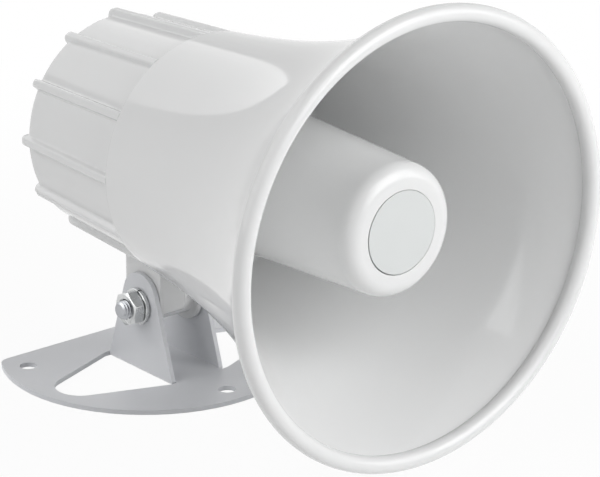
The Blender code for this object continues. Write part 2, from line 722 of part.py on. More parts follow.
def make_driver_gasket(parts, tools, axis):
    """Flat gasket between the driver and the bulkhead."""
    bottom = GASKET_FACE - GASKET_THICKNESS
    profile = ring_profile(GASKET_BORE, FLANGE_RADIUS, bottom, GASKET_FACE)
    gasket = turned("driver_gasket", profile, DRIVER_COUNT, parts, axis)
    centres = ring_of(4, DRIVER_SCREW_CIRCLE, 0.0)
    radius = DRIVER_SCREW_RADIUS + HOLE_PLAY
    holes = rods("gasket_holes", radius, bottom - GAP, GASKET_FACE + GAP, centres, TINY_COUNT, tools, axis)
    combine(gasket, holes, "DIFFERENCE")
    return gasket


def make_phase_plug(parts, tools, axis):
    """Cone in the throat, held by three arms on a ring inside the chamber."""
    top = FLANGE_REAR - GAP
    bottom = top - PLUG_THICKNESS
    outer = CHAMBER_BORE - GAP
    rim = ring_profile(outer - PLUG_RING, outer, bottom, top)
    ring = turned("phase_plug", rim, SMALL_COUNT * 2, parts, axis)
    cone = [
        (0.0, bottom + PLUG_LENGTH),
        (PLUG_RADIUS / 2, bottom + PLUG_LENGTH * 0.7),
        (PLUG_RADIUS, top),
        (PLUG_RADIUS, bottom),
        (0.0, bottom),
    ]
    combine(ring, turned("plug_cone", cone, SMALL_COUNT, tools, axis, closed=False), "UNION")
    inset = PLUG_THICKNESS / 4
    for i in range(VANE_COUNT):
        low = (PLUG_RADIUS / 2, -VANE_THICKNESS / 2, bottom + inset)
        high = (outer - PLUG_RING / 2, VANE_THICKNESS / 2, top - inset)
        arm = block(f"plug_arm_{i + 1}", low, high, tools, axis)
        arm.rotation_euler[2] = math.radians(90.0 + 360.0 * i / VANE_COUNT)
        combine(ring, arm, "UNION")
    return ring


def make_diaphragm(parts, axis):
    """Domed diaphragm whose flat rim lies between the chamber and the top plate."""
    seat = TOP_PLATE_FACE + GAP
    rim = CHAMBER_BORE - GAP
    rise = DOME_RISE
    profile = [
        (0.0, seat + rise + DOME_SKIN),
        (COIL_INNER * 0.6, seat + rise * 0.75 + DOME_SKIN),
        (COIL_OUTER + DOME_SKIN, seat + DOME_SKIN),
        (rim, seat + DOME_SKIN),
        (rim, seat),
        (COIL_INNER, seat),
        (COIL_INNER * 0.6, seat + rise * 0.75),
        (0.0, seat + rise),
    ]
    return turned("diaphragm", profile, DRIVER_COUNT, parts, axis, closed=False)


def make_voice_coil(parts, axis):
    """Coil in the magnet's gap, under the diaphragm."""
    top = TOP_PLATE_FACE
    profile = ring_profile(COIL_INNER, COIL_OUTER, top - COIL_LENGTH, top)
    return turned("voice_coil", profile, DRIVER_COUNT, parts, axis)


def make_motor(parts, axis):
    """Top plate, ring magnet and the yoke whose pole stands inside them."""
    top_plate = turned(
        "top_plate", ring_profile(COIL_HOLE, TOP_PLATE_RADIUS, TOP_PLATE_REAR, TOP_PLATE_FACE),
        DRIVER_COUNT, parts, axis,
    )
    magnet = turned(
        "magnet",
        ring_profile(MAGNET_BORE, MAGNET_RADIUS, MAGNET_REAR, MAGNET_FACE),
        DRIVER_COUNT,
        parts,
        axis,
    )
    yoke_profile = [
        (0.0, TOP_PLATE_FACE),
        (POLE_RADIUS, TOP_PLATE_FACE),
        (POLE_RADIUS, YOKE_FACE),
        (TOP_PLATE_RADIUS, YOKE_FACE),
        (TOP_PLATE_RADIUS, YOKE_REAR),
        (0.0, YOKE_REAR),
    ]
    yoke = turned("yoke", yoke_profile, DRIVER_COUNT, parts, axis, closed=False)
    return top_plate, magnet, yoke


def make_terminal_strip(parts, axis):
    """Insulating strip on the back of the yoke."""
    width, height, thickness = STRIP_SIZE
    back = YOKE_REAR - GAP
    low = (-width / 2, -height / 2, back - thickness)
    return block("terminal_strip", low, (width / 2, height / 2, back), parts, axis)


def make_terminal_lug(name, offset, parts, axis):
    """Folded solder lug: a foot on the strip and a tab that stands back from it."""
    width, height, thickness = LUG_SIZE
    fold = [
        (0.0, 0.0),
        (0.0, -thickness),
        (height - thickness, -thickness),
        (height - thickness, -height),
        (height, -height),
        (height, 0.0),
    ]
    lug = extruded(name, [fold], width, parts, axis)
    lug.rotation_euler = (math.pi / 2, 0.0, math.pi / 2)
    seat = YOKE_REAR - 2 * GAP - STRIP_SIZE[2]
    lug.location = (offset - width / 2, -height / 2, seat)
    return lug


def plate_outline():
    """Base plate: a round front and sides, cut straight at the back with rounded corners."""
    rise = PLATE_BACK - PLATE_CENTRE - PLATE_CORNER
    reach = math.sqrt((PLATE_RADIUS - PLATE_CORNER) ** 2 - rise ** 2)
    lean = math.degrees(math.atan2(rise, reach))
    right = (reach, PLATE_CENTRE + rise)
    left = (-reach, PLATE_CENTRE + rise)
    points = arc((0.0, PLATE_CENTRE), PLATE_RADIUS, -180.0 - lean, lean, 40)
    points.extend(arc(right, PLATE_CORNER, lean, 90.0, 4)[1:])
    points.extend(arc(left, PLATE_CORNER, 90.0, 180.0 - lean, 4)[:-1])
    return points


def ear_outline(foot, tip, rise, start):
    """Tapered ear as (across, up): straight sides from its foot, tangent to a round tip."""
    span = math.hypot(foot, rise)
    lean = math.degrees(math.acos(tip / span) - math.atan2(rise, foot))
    points = [(-foot, start), (-foot, 0.0)]
    points.extend(arc((0.0, rise), tip, 180.0 - lean, lean, SMALL_COUNT))
    points.extend([(foot, 0.0), (foot, start)])
    return points


def cutout_outline(side):
    """Opening that the ear on one side left in the plate when it was folded up."""
    rise = EAR_OUTER + EAR_RISE - BEND_SHORTENING
    edge = EAR_GAP / 2 + GAP
    tip = EAR_RADIUS + CUTOUT_PLAY / 4
    foot = EAR_FOOT + RELIEF_WIDTH
    unfolded = ear_outline(EAR_FOOT + CUTOUT_PLAY, tip, rise - EAR_OUTER, 0.0)[1:-1]
    points = [(edge, -foot), (EAR_OUTER + RELIEF_WIDTH, -foot)]
    points.extend((EAR_OUTER + up, across) for across, up in unfolded[1:-1])
    points.extend([(EAR_OUTER + RELIEF_WIDTH, foot), (edge, foot)])
    return [(side * x, y) for x, y in points]


def make_ear(name, side, tools):
    """One ear: a folded strip cut to the ear's tapered outline."""
    reach = PIVOT_HEIGHT + EAR_CROWN + EAR_RADIUS + SHEET
    inner = EAR_GAP / 2
    foot = inner - 2 * SHEET
    strip = [(foot, SHEET * 0.75), (foot, SHEET * 0.25), (EAR_OUTER - BEND_RADIUS, SHEET * 0.25)]
    strip.extend(arc((EAR_OUTER - BEND_RADIUS, BEND_RADIUS + BEND_SINK), BEND_RADIUS, -90.0, 0.0, 5))
    strip.extend([(EAR_OUTER, reach), (inner, reach)])
    strip.extend(arc((inner - BEND_INNER, SHEET + BEND_INNER - BEND_SINK), BEND_INNER, 0.0, -90.0, 2))
    strip.append((inner - BEND_INNER, SHEET * 0.75))
    span = 2 * EAR_FOOT + 2 * SHEET
    ear = extruded(name, [[(side * x, z) for x, z in strip]], span, tools)
    ear.rotation_euler[0] = math.pi / 2
    ear.location[1] = span / 2
    outline = [(y, z + SHEET) for y, z in ear_outline(EAR_FOOT, EAR_RADIUS, EAR_RISE, -2 * SHEET)]
    shape = extruded(name + "_shape", [outline], 2 * EAR_OUTER, tools)
    shape.rotation_euler = (math.pi / 2, 0.0, math.pi / 2)
    shape.location[0] = -EAR_OUTER + side * EAR_OUTER
    combine(ear, shape, "INTERSECT")
    return ear


def make_bracket(parts, tools):
    """Folded bracket: a pierced base plate with two ears for the tilt bolt."""
    holes = [circle((0.0, PLATE_CENTRE - MOUNT_CIRCLE), MOUNT_HOLE, SMALL_COUNT)]
    across = MOUNT_CIRCLE * math.cos(MOUNT_REAR_ANGLE)
    back = PLATE_CENTRE + MOUNT_CIRCLE * math.sin(MOUNT_REAR_ANGLE)
    for side in (-1, 1):
        holes.append(circle((side * across, back), MOUNT_HOLE, SMALL_COUNT))
        holes.append(cutout_outline(side))
    bracket = extruded("mounting_bracket", [plate_outline()] + holes, SHEET, parts)
    for name, side in (("near_ear", -1), ("far_ear", 1)):
        combine(bracket, make_ear(name, side, tools), "UNION")
    bore = rods("ear_bore", BOLT_HOLE, -2 * EAR_OUTER, 2 * EAR_OUTER, [(0.0, 0.0)], SMALL_COUNT, tools)
    bore.rotation_euler[1] = math.pi / 2
    bore.location = (0.0, 0.0, PIVOT_HEIGHT)
    combine(bracket, bore, "DIFFERENCE")
    return bracket


def hex_blank(name, bottom, top, chamfers, collection, tools, parent):
    """Hexagonal blank whose corners are turned down at one or both ends."""
    corner = HEX_FLATS / math.sqrt(3.0)
    blank = rods(name, corner, bottom, top, [(0.0, 0.0)], 6, collection, parent)
    drop = (corner - HEX_FLATS / 2) * math.tan(math.radians(30.0)) * 2
    profile = [(0.0, top + GAP)]
    if "top" in chamfers:
        profile.extend([(HEX_FLATS / 2 - GAP, top + GAP), (corner + GAP, top - drop)])
    else:
        profile.append((corner + GAP, top + GAP))
    if "bottom" in chamfers:
        profile.extend([(corner + GAP, bottom + drop), (HEX_FLATS / 2 - GAP, bottom - GAP)])
    else:
        profile.append((corner + GAP, bottom - GAP))
    profile.append((0.0, bottom - GAP))
    turned_shape = turned(name + "_chamfer", profile, SMALL_COUNT * 2, tools, parent, closed=False)
    combine(blank, turned_shape, "INTERSECT")
    return blank


def make_hardware(parts, tools, bolt_axis):
    """Tilt bolt with its washers and nut; local Z runs from the head to the nut."""
    washer_seat = -EAR_OUTER - GAP
    head_seat = washer_seat - FLAT_WASHER - GAP
    spring_seat = EAR_OUTER + GAP
    nut_seat = spring_seat + SPRING_WASHER + GAP
    nut_end = nut_seat + NUT_HEIGHT
    tip = nut_end + BOLT_PROUD

    bolt = hex_blank("pivot_bolt", head_seat - HEAD_HEIGHT, head_seat, ("bottom",), parts, tools, bolt_axis)
    shank = [
        (0.0, tip),
        (BOLT_RADIUS - BOLT_EDGE, tip),
        (BOLT_RADIUS, tip - BOLT_EDGE),
        (BOLT_RADIUS, head_seat - HEAD_HEIGHT / 2),
        (0.0, head_seat - HEAD_HEIGHT / 2),
    ]
    combine(bolt, turned("bolt_shank", shank, DRIVER_COUNT, tools, bolt_axis, closed=False), "UNION")

    nut = hex_blank("hex_nut", nut_seat, nut_end, ("top", "bottom"), parts, tools, bolt_axis)
    nut.rotation_euler[2] = HEX_ANGLE
    centre = [(0.0, 0.0)]
    hole = rods("nut_hole", BOLT_HOLE, nut_seat - GAP, nut_end + GAP, centre, SMALL_COUNT, tools, bolt_axis)
    combine(nut, hole, "DIFFERENCE")

    profile = ring_profile(BOLT_HOLE, SPRING_WASHER_RADIUS, spring_seat, spring_seat + SPRING_WASHER)
    spring = turned("spring_washer", profile, DRIVER_COUNT, parts, bolt_axis)
    half = SPRING_WASHER_SPLIT / 2
    low = (0.0, -half, spring_seat - SPRING_WASHER)
    high = (2 * SPRING_WASHER_RADIUS, half, spring_seat + 2 * SPRING_WASHER)
    split = block("washer_split", low, high, tools, bolt_axis)
    split.rotation_euler[2] = math.radians(115.0)
    combine(spring, split, "DIFFERENCE")

    flat = ring_profile(BOLT_HOLE, FLAT_WASHER_RADIUS, washer_seat - FLAT_WASHER, washer_seat)
    washer = turned("flat_washer", flat, DRIVER_COUNT, parts, bolt_axis)
    return bolt, nut, spring, washer


def build():
    """Make every part in its own frame and colour it."""
    clear_scene()
    parts = new_collection("pa_horn_speaker")
    tools = new_collection("pa_horn_speaker_cutters")
    white = new_material("white_plastic", (0.80, 0.81, 0.82), 0.35)
    paint = new_material("grey_paint", (0.62, 0.63, 0.66), 0.45)
    zinc = new_material("zinc_plate", (0.62, 0.62, 0.61), 0.30, 1.0)
    steel = new_material("steel", (0.45, 0.46, 0.48), 0.35, 1.0)
    ferrite = new_material("ferrite", (0.06, 0.06, 0.07), 0.60)
    rubber = new_material("rubber", (0.04, 0.04, 0.04), 0.80)
    film = new_material("film", (0.60, 0.35, 0.12), 0.40)
    copper = new_material("copper", (0.72, 0.36, 0.20), 0.35, 1.0)
    board = new_material("board", (0.35, 0.22, 0.10), 0.70)

    pivot = add_empty("tilt_axis", (0.0, 0.0, PIVOT_HEIGHT), (0.0, 0.0, 0.0))
    axis = add_empty("horn_axis", (0.0, 0.0, AXIS_RISE), (math.pi / 2, 0.0, 0.0), pivot)
    bolt_axis = add_empty("bolt_axis", (0.0, 0.0, PIVOT_HEIGHT), (0.0, -math.pi / 2, 0.0))

    cup_screw = (SCREW_RADIUS, SCREW_HEAD_RADIUS, HEAD_POCKET_DEPTH - 2 * GAP)
    finishes = [
        (make_horn_bell(parts, tools, axis), white),
        (make_throat_tube(parts, tools, axis), white),
        (make_reflector_cup(parts, axis), white),
        (make_cup_disc(parts, axis), white),
        (make_screw("cup_screw", cup_screw, HEAD_SEAT + GAP, TUBE_MOUTH - VANE_LENGTH / 2, (0.0, 0.0), True,
                    parts, axis), zinc),
        (make_rear_cover(parts, tools, axis), white),
        (make_grommet(parts, axis), rubber),
        (make_seam_gasket(parts, axis), rubber),
        (make_front_plate(parts, tools, axis), white),
        (make_driver_gasket(parts, tools, axis), rubber),
        (make_phase_plug(parts, tools, axis), white),
        (make_diaphragm(parts, axis), film),
        (make_voice_coil(parts, axis), copper),
        (make_terminal_strip(parts, axis), board),
        (make_bracket(parts, tools), paint),
    ]
    top_plate, magnet, yoke = make_motor(parts, axis)
    finishes.extend([(top_plate, steel), (magnet, ferrite), (yoke, steel)])
    finishes.extend((piece, zinc) for piece in make_hardware(parts, tools, bolt_axis))

    cover_screw = (SCREW_RADIUS, SCREW_HEAD_RADIUS, SCREW_HEAD)
    tip = POST_END + COVER_SCREW_BITE
    for i, centre in enumerate(ring_of(4, COVER_SCREW_CIRCLE, 45.0)):
        name = f"cover_screw_{i + 1}"
        screw = make_screw(name, cover_screw, POCKET_FLOOR - GAP, tip, centre, False, parts, axis)
        finishes.append((screw, zinc))
    driver_screw = (DRIVER_SCREW_RADIUS, DRIVER_HEAD_RADIUS, DRIVER_HEAD)
    tip = BULKHEAD_REAR + DRIVER_SCREW_BITE
    for i, centre in enumerate(ring_of(4, DRIVER_SCREW_CIRCLE, 0.0)):
        name = f"driver_screw_{i + 1}"
        screw = make_screw(name, driver_screw, FLANGE_REAR - GAP, tip, centre, False, parts, axis)
        finishes.append((screw, zinc))
    for i, offset in enumerate((-LUG_SPACING / 2, LUG_SPACING / 2)):
        finishes.append((make_terminal_lug(f"terminal_lug_{i + 1}", offset, parts, axis), zinc))

    bpy.context.view_layer.update()
    for part, material in finishes:
        finish_part(part, material)
    for tool in tools.objects:
        tool.hide_render = True
        tool.display_type = "WIRE"


build()
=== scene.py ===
import json
import math

import bmesh
import bpy
import numpy as np
from mathutils import Matrix, Vector


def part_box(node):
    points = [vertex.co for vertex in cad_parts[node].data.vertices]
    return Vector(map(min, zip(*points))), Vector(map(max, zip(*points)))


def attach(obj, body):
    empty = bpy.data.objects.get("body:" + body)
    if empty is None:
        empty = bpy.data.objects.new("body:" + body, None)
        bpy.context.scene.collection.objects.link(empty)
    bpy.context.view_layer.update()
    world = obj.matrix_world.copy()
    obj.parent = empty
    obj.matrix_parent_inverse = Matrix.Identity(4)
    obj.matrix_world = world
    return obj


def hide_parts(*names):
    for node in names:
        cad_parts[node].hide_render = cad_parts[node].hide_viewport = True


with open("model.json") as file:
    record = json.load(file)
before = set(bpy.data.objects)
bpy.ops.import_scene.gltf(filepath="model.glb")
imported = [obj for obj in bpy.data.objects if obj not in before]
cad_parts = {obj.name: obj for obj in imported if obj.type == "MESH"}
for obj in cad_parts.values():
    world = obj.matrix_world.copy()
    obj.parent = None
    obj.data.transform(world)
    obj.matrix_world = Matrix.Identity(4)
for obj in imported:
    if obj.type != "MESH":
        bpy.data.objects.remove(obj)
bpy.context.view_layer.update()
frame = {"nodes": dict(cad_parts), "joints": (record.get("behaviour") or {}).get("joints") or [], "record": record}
print("frame loaded:", len(frame["nodes"]), "nodes")

mm = 0.001
pivot = Vector(frame["joints"][0]["pos_m"])
bellLow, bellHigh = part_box("horn_bell")
axisHeight = (bellLow.z + bellHigh.z) / 2  # height of the horn's axis
smoothAngle = 40.0                 # degrees; sharper edges are shaded as edges
mergeGap = 0.0005 * mm             # points nearer than this become one
noiseRange = (0.3, 0.7)            # where nearly all of the noise's values lie


# shapes

def fillet(corners, radii, steps=5, hold=0.12 * mm):
    # open profile through its corners, each rounded by an arc of its own radius;
    # a point held a little outside each arc keeps the flats flat when shaded
    corners = np.asarray(corners, float)
    out = [corners[:1]]
    for before, here, after, radius in zip(corners, corners[1:], corners[2:], radii):
        inward = (before - here) / np.linalg.norm(before - here)
        onward = (after - here) / np.linalg.norm(after - here)
        if radius <= 0:
            out.append(here[None])
            continue
        half = math.acos(np.clip(inward @ onward, -1, 1)) / 2
        reach = radius / math.tan(half)
        centre = here + (inward + onward) / np.linalg.norm(inward + onward) * radius / math.sin(half)
        first = here + inward * reach - centre
        last = here + onward * reach - centre
        share = np.linspace(0, 1, steps + 1)[:, None]
        angle = math.pi - 2 * half
        arc = (np.sin((1 - share) * angle) * first + np.sin(share * angle) * last) / math.sin(angle)
        out.append(here[None] + inward * (reach + hold))
        out.append(centre + arc)
        out.append(here[None] + onward * (reach + hold))
    out.append(corners[-1:])
    return np.concatenate(out)


def turn(profile, count, centre=(0.0, 0.0)):
    # surface of revolution about the horn's axis: a point (radius, ahead) goes to
    # x = radius cos a, y = -ahead, z = axis + radius sin a
    angles = np.linspace(0, 2 * np.pi, count, endpoint=False)[:, None]
    radius = profile[None, :, 0]
    ahead = np.broadcast_to(profile[None, :, 1], (count, len(profile)))
    across = centre[0] + radius * np.cos(angles)
    up = axisHeight + centre[1] + radius * np.sin(angles)
    return np.stack([across, -ahead, up], -1)


def turnOnBolt(profile, count):
    # surface of revolution about the tilt bolt: a point (radius, along) goes to
    # x = -along, y = radius cos a, z = pivot + radius sin a
    angles = np.linspace(0, 2 * np.pi, count, endpoint=False)[:, None]
    radius = profile[None, :, 0]
    along = np.broadcast_to(profile[None, :, 1], (count, len(profile)))
    return np.stack([-along, pivot.y + radius * np.cos(angles), pivot.z + radius * np.sin(angles)], -1)


def gridFaces(rows, columns, wrapRows, wrapColumns):
    # quads between neighbouring grid points, joined up at a seam where asked
    i = np.arange(rows if wrapRows else rows - 1)[:, None]
    j = np.arange(columns if wrapColumns else columns - 1)[None, :]
    iNext = (i + 1) % rows
    jNext = (j + 1) % columns
    corners = (i * columns + j, iNext * columns + j, iNext * columns + jNext, i * columns + jNext)
    return np.stack(corners, -1).reshape(-1, 4)


def gridMesh(name, grids, wrapRows=True, wrapColumns=False, sharp=smoothAngle):
    # one mesh from one or more grids of points; poles and seams are merged and
    # every closed shell is turned to face out by the sign of its volume
    whole = bmesh.new()
    for grid in grids:
        rows, columns = grid.shape[:2]
        points = grid.reshape(-1, 3)
        quads = gridFaces(rows, columns, wrapRows, wrapColumns)
        a, b, c, d = (points[quads[:, k]] for k in range(4))
        volume = (np.cross(a, b) * c).sum() + (np.cross(a, c) * d).sum()
        if volume < 0:
            quads = quads[:, ::-1]
        mesh = bpy.data.meshes.new(name)
        mesh.from_pydata(points.tolist(), [], quads.tolist())
        shell = bmesh.new()
        shell.from_mesh(mesh)
        bmesh.ops.remove_doubles(shell, verts=shell.verts, dist=mergeGap)
        shell.to_mesh(mesh)
        shell.free()
        whole.from_mesh(mesh)
        bpy.data.meshes.remove(mesh)
    mesh = bpy.data.meshes.new(name)
    whole.to_mesh(mesh)
    whole.free()
    return shadedObject(name, mesh, sharp)


def shade(mesh, sharp=smoothAngle):
    mesh.shade_smooth()
    mesh.set_sharp_from_angle(angle=math.radians(sharp))


def shadedObject(name, mesh, sharp):
    shade(mesh, sharp)
    obj = bpy.data.objects.new(name, mesh)
    bpy.context.scene.collection.objects.link(obj)
    return obj


def joinShapes(target, tools, operation):
    # Boolean of the target with each tool in turn, made part of its mesh
    for tool in tools:
        boolean = target.modifiers.new("join", "BOOLEAN")
        boolean.operation = operation
        boolean.solver = "MANIFOLD"
        boolean.object = tool
    graph = bpy.context.evaluated_depsgraph_get()
    mesh = bpy.data.meshes.new_from_object(target.evaluated_get(graph))
    target.modifiers.clear()
    target.data = mesh
    shade(mesh)
    for tool in tools:
        bpy.data.objects.remove(tool)
    return target


def dress(piece, body, nodes, material):
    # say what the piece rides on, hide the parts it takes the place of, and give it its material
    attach(piece, body)
    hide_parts(*nodes)
    piece.data.materials.clear()
    piece.data.materials.append(material)


# materials

def newMaterial(name):
    material = bpy.data.materials.new(name)
    material.use_nodes = True
    tree = material.node_tree
    shader = tree.nodes["Principled BSDF"]
    return material, tree, shader


def addNoise(tree, size, detail):
    # noise on the object's own coordinates, with waves of this size in metres
    place = tree.nodes.new("ShaderNodeTexCoord")
    noise = tree.nodes.new("ShaderNodeTexNoise")
    noise.inputs["Scale"].default_value = 1.0 / size
    noise.inputs["Detail"].default_value = detail
    tree.links.new(place.outputs["Object"], noise.inputs["Vector"])
    return noise


def remap(tree, value, low, high):
    # spread the noise's usual range over low to high
    ramp = tree.nodes.new("ShaderNodeMapRange")
    ramp.inputs["From Min"].default_value = noiseRange[0]
    ramp.inputs["From Max"].default_value = noiseRange[1]
    ramp.inputs["To Min"].default_value = low
    ramp.inputs["To Max"].default_value = high
    tree.links.new(value, ramp.inputs["Value"])
    return ramp.outputs["Result"]


def tint(tree, shader, noise, first, second):
    mix = tree.nodes.new("ShaderNodeMix")
    mix.data_type = "RGBA"
    mix.inputs["A"].default_value = (*first, 1.0)
    mix.inputs["B"].default_value = (*second, 1.0)
    tree.links.new(remap(tree, noise.outputs["Fac"], 0.0, 1.0), mix.inputs["Factor"])
    tree.links.new(mix.outputs["Result"], shader.inputs["Base Color"])


def bump(tree, shader, noise, strength, distance):
    node = tree.nodes.new("ShaderNodeBump")
    node.inputs["Strength"].default_value = strength
    node.inputs["Distance"].default_value = distance
    tree.links.new(noise.outputs["Fac"], node.inputs["Height"])
    tree.links.new(node.outputs["Normal"], shader.inputs["Normal"])


# two linear colours between which each finish drifts, its low and high roughness, the
# size of the drift (grain) and of the fine bumps (skin), and how strong the bumps are
finishes = {
    "whitePlastic": dict(first=(0.80, 0.804, 0.804), second=(0.79, 0.794, 0.794), low=0.07, high=0.09,
                         grain=0.03, skin=0.0012, strength=0.012, depth=0.01 * mm),
    "discPlastic": dict(first=(0.68, 0.70, 0.695), second=(0.67, 0.69, 0.685), low=0.34, high=0.40,
                        grain=0.02, skin=0.0006, strength=0.05, depth=0.01 * mm),
    "bracketPaint": dict(first=(0.74, 0.75, 0.775), second=(0.725, 0.735, 0.76), low=0.30, high=0.36,
                         grain=0.02, skin=0.0008, strength=0.08, depth=0.02 * mm),
    "zincPlate": dict(first=(0.66, 0.67, 0.67), second=(0.57, 0.58, 0.58), low=0.22, high=0.34,
                      grain=0.003, skin=0.0004, strength=0.10, depth=0.02 * mm, metallic=1.0),
    "blackRubber": dict(first=(0.022, 0.022, 0.023), second=(0.03, 0.03, 0.031), low=0.62, high=0.75,
                        grain=0.004, skin=0.0003, strength=0.2, depth=0.02 * mm),
    "platedSteel": dict(first=(0.46, 0.47, 0.49), second=(0.38, 0.39, 0.41), low=0.30, high=0.45,
                        grain=0.004, skin=0.0004, strength=0.1, depth=0.02 * mm, metallic=1.0),
    "darkFerrite": dict(first=(0.05, 0.05, 0.055), second=(0.08, 0.08, 0.085), low=0.55, high=0.7,
                        grain=0.002, skin=0.0003, strength=0.3, depth=0.03 * mm),
    "amberFilm": dict(first=(0.55, 0.30, 0.10), second=(0.48, 0.26, 0.08), low=0.3, high=0.4,
                      grain=0.004, skin=0.0005, strength=0.1, depth=0.02 * mm),
    "copperWire": dict(first=(0.70, 0.34, 0.18), second=(0.62, 0.29, 0.15), low=0.3, high=0.4,
                       grain=0.002, skin=0.0003, strength=0.3, depth=0.03 * mm, metallic=1.0),
    "brownBoard": dict(first=(0.28, 0.17, 0.08), second=(0.22, 0.13, 0.06), low=0.6, high=0.75,
                       grain=0.002, skin=0.0003, strength=0.2, depth=0.02 * mm),
}


def makeMaterial(name):
    # a slow drift of colour and gloss, and a fine skin of bumps
    values = finishes[name]
    material, tree, shader = newMaterial(name)
    shader.inputs["Metallic"].default_value = values.get("metallic", 0.0)
    drift = addNoise(tree, values["grain"], detail=3.0)
    tint(tree, shader, drift, values["first"], values["second"])
    gloss = remap(tree, drift.outputs["Fac"], values["low"], values["high"])
    tree.links.new(gloss, shader.inputs["Roughness"])
    skin = addNoise(tree, values["skin"], detail=1.0)
    bump(tree, shader, skin, values["strength"], values["depth"])
    return material


materials = {name: makeMaterial(name) for name in finishes}
slotFinish = {
    "white_plastic": "whitePlastic", "grey_paint": "bracketPaint", "zinc_plate": "zincPlate",
    "plated_steel": "platedSteel", "dark_ferrite": "darkFerrite", "black_rubber": "blackRubber",
    "amber_film": "amberFilm", "copper_wire": "copperWire", "brown_board": "brownBoard",
}
for row in frame["record"]["subparts"]:
    node = frame["nodes"][row["node"]]
    node.data.materials.clear()
    node.data.materials.append(materials[slotFinish[row["material_slot"]]])
print("materials made:", len(materials))


# horn

bell = dict(
    rimRadius=(bellHigh.x - bellLow.x) / 2,
    rimRoll=2.7 * mm,
    rollGap=6.0,                  # degrees of the roll left open where each side meets it
    lip=-bellLow.y,               # the lip's distance ahead of the bolt
    outerStart=0.99,              # roll radii from the roll's centre back to the outer side
    innerEnd=1.5,                 # and to the inner side
    collar=39.2 * mm,
    collarEdge=0.6 * mm,
    collarRounding=0.48 * mm,
    seam=22.0 * mm,
    growth=52.5 * mm,
    wall=2.4 * mm,
    bulkhead=25.0 * mm,
    bulkheadWall=2.5 * mm,
    bulkheadFillet=3.0 * mm,
    innerStart=4.0 * mm,          # the inner side's first point, ahead of the bulkhead
    skirt=37.3 * mm,
    skirtEdge=0.2 * mm,
    throat=8.9 * mm,
    throatEdge=0.3 * mm,
    ridge=0.35 * mm,              # fine raised line behind the rolled rim
    ridgeBack=1.0 * mm,           # from the roll to the ridge's far side
    ridgeWidth=0.6 * mm,
    ridgeSlope=0.12 * mm,         # length over which it rises and falls
    closeMargin=0.4 * mm,         # the close points go on this far behind the ridge
    closeStep=1.0 * mm,           # from them to the wider ones
    points=dict(roll=44, close=36, outer=68, inner=70, corner=6),
    hold=0.05 * mm,
    count=216,
)


def flare(ahead):
    # exponential flare: collar + rise (e^((ahead - seam) / growth) - 1), and its slope
    end = bell["lip"] - 2 * bell["rimRoll"]
    reach = bell["rimRadius"] - bell["rimRoll"] - bell["collar"]
    rise = reach / (math.exp((end - bell["seam"]) / bell["growth"]) - 1)
    power = np.exp((ahead - bell["seam"]) / bell["growth"])
    return bell["collar"] + rise * (power - 1), rise / bell["growth"] * power


def arcPoints(centre, radius, start, end, count):
    # arc from one angle to another in degrees, as (centre + radius cos, centre + radius sin)
    angle = np.radians(np.linspace(start, end, count))
    return np.stack([centre[0] + radius * np.cos(angle), centre[1] + radius * np.sin(angle)], -1)


def makeBell():
    # profile: rolled lip, the flare's outer side back to the collar, bulkhead, and
    # the inner side, which is the outer side moved one wall in along its normal
    roll, seam, points = bell["rimRoll"], bell["seam"], bell["points"]
    crown = (bell["rimRadius"] - roll, bell["lip"] - roll)
    start = crown[1] - roll * bell["outerStart"]
    ridgeEnd = start - bell["ridgeBack"]
    closeEnd = ridgeEnd - bell["closeMargin"]
    close = np.linspace(start, closeEnd, points["close"])
    wide = np.linspace(closeEnd - bell["closeStep"], seam + bell["collarEdge"], points["outer"])
    outerAhead = np.concatenate([close, wide])
    outerRadius, _ = flare(outerAhead)
    onRidge = np.minimum(outerAhead - ridgeEnd, ridgeEnd + bell["ridgeWidth"] - outerAhead)
    outerRadius = outerRadius + bell["ridge"] * np.clip(onRidge / bell["ridgeSlope"], 0, 1)
    outer = np.stack([outerRadius, outerAhead], -1)
    front = bell["bulkhead"] + bell["bulkheadWall"]
    innerEnd = crown[1] - roll * bell["innerEnd"]
    innerAhead = np.linspace(front + bell["innerStart"], innerEnd, points["inner"])
    innerRadius, slope = flare(innerAhead)
    length = np.sqrt(1 + slope ** 2)
    inner = np.stack([innerRadius - bell["wall"] / length, innerAhead + bell["wall"] * slope / length], -1)
    meet = math.degrees(math.atan2(inner[-1, 1] - crown[1], inner[-1, 0] - crown[0])) % 360
    lip = arcPoints(crown, roll, meet - bell["rollGap"], bell["rollGap"] - 90, points["roll"])
    corners = [
        outer[-1], (bell["collar"], seam), (bell["skirt"], seam), (bell["skirt"], bell["bulkhead"]),
        (bell["throat"], bell["bulkhead"]), (bell["throat"], front), (inner[0, 0], front), inner[0],
    ]
    edge = bell["skirtEdge"]
    radii = [bell["collarRounding"], edge, edge, edge, bell["throatEdge"], bell["bulkheadFillet"]]
    back = fillet(corners, radii, points["corner"], bell["hold"])
    profile = np.concatenate([lip, outer[:-1], back[:-1], inner])
    return gridMesh("hornShell", [turn(profile, bell["count"])], True, True)


dress(makeBell(), "horn", ["horn_bell"], materials["whitePlastic"])
print("horn made")


# reflector cup and its disc

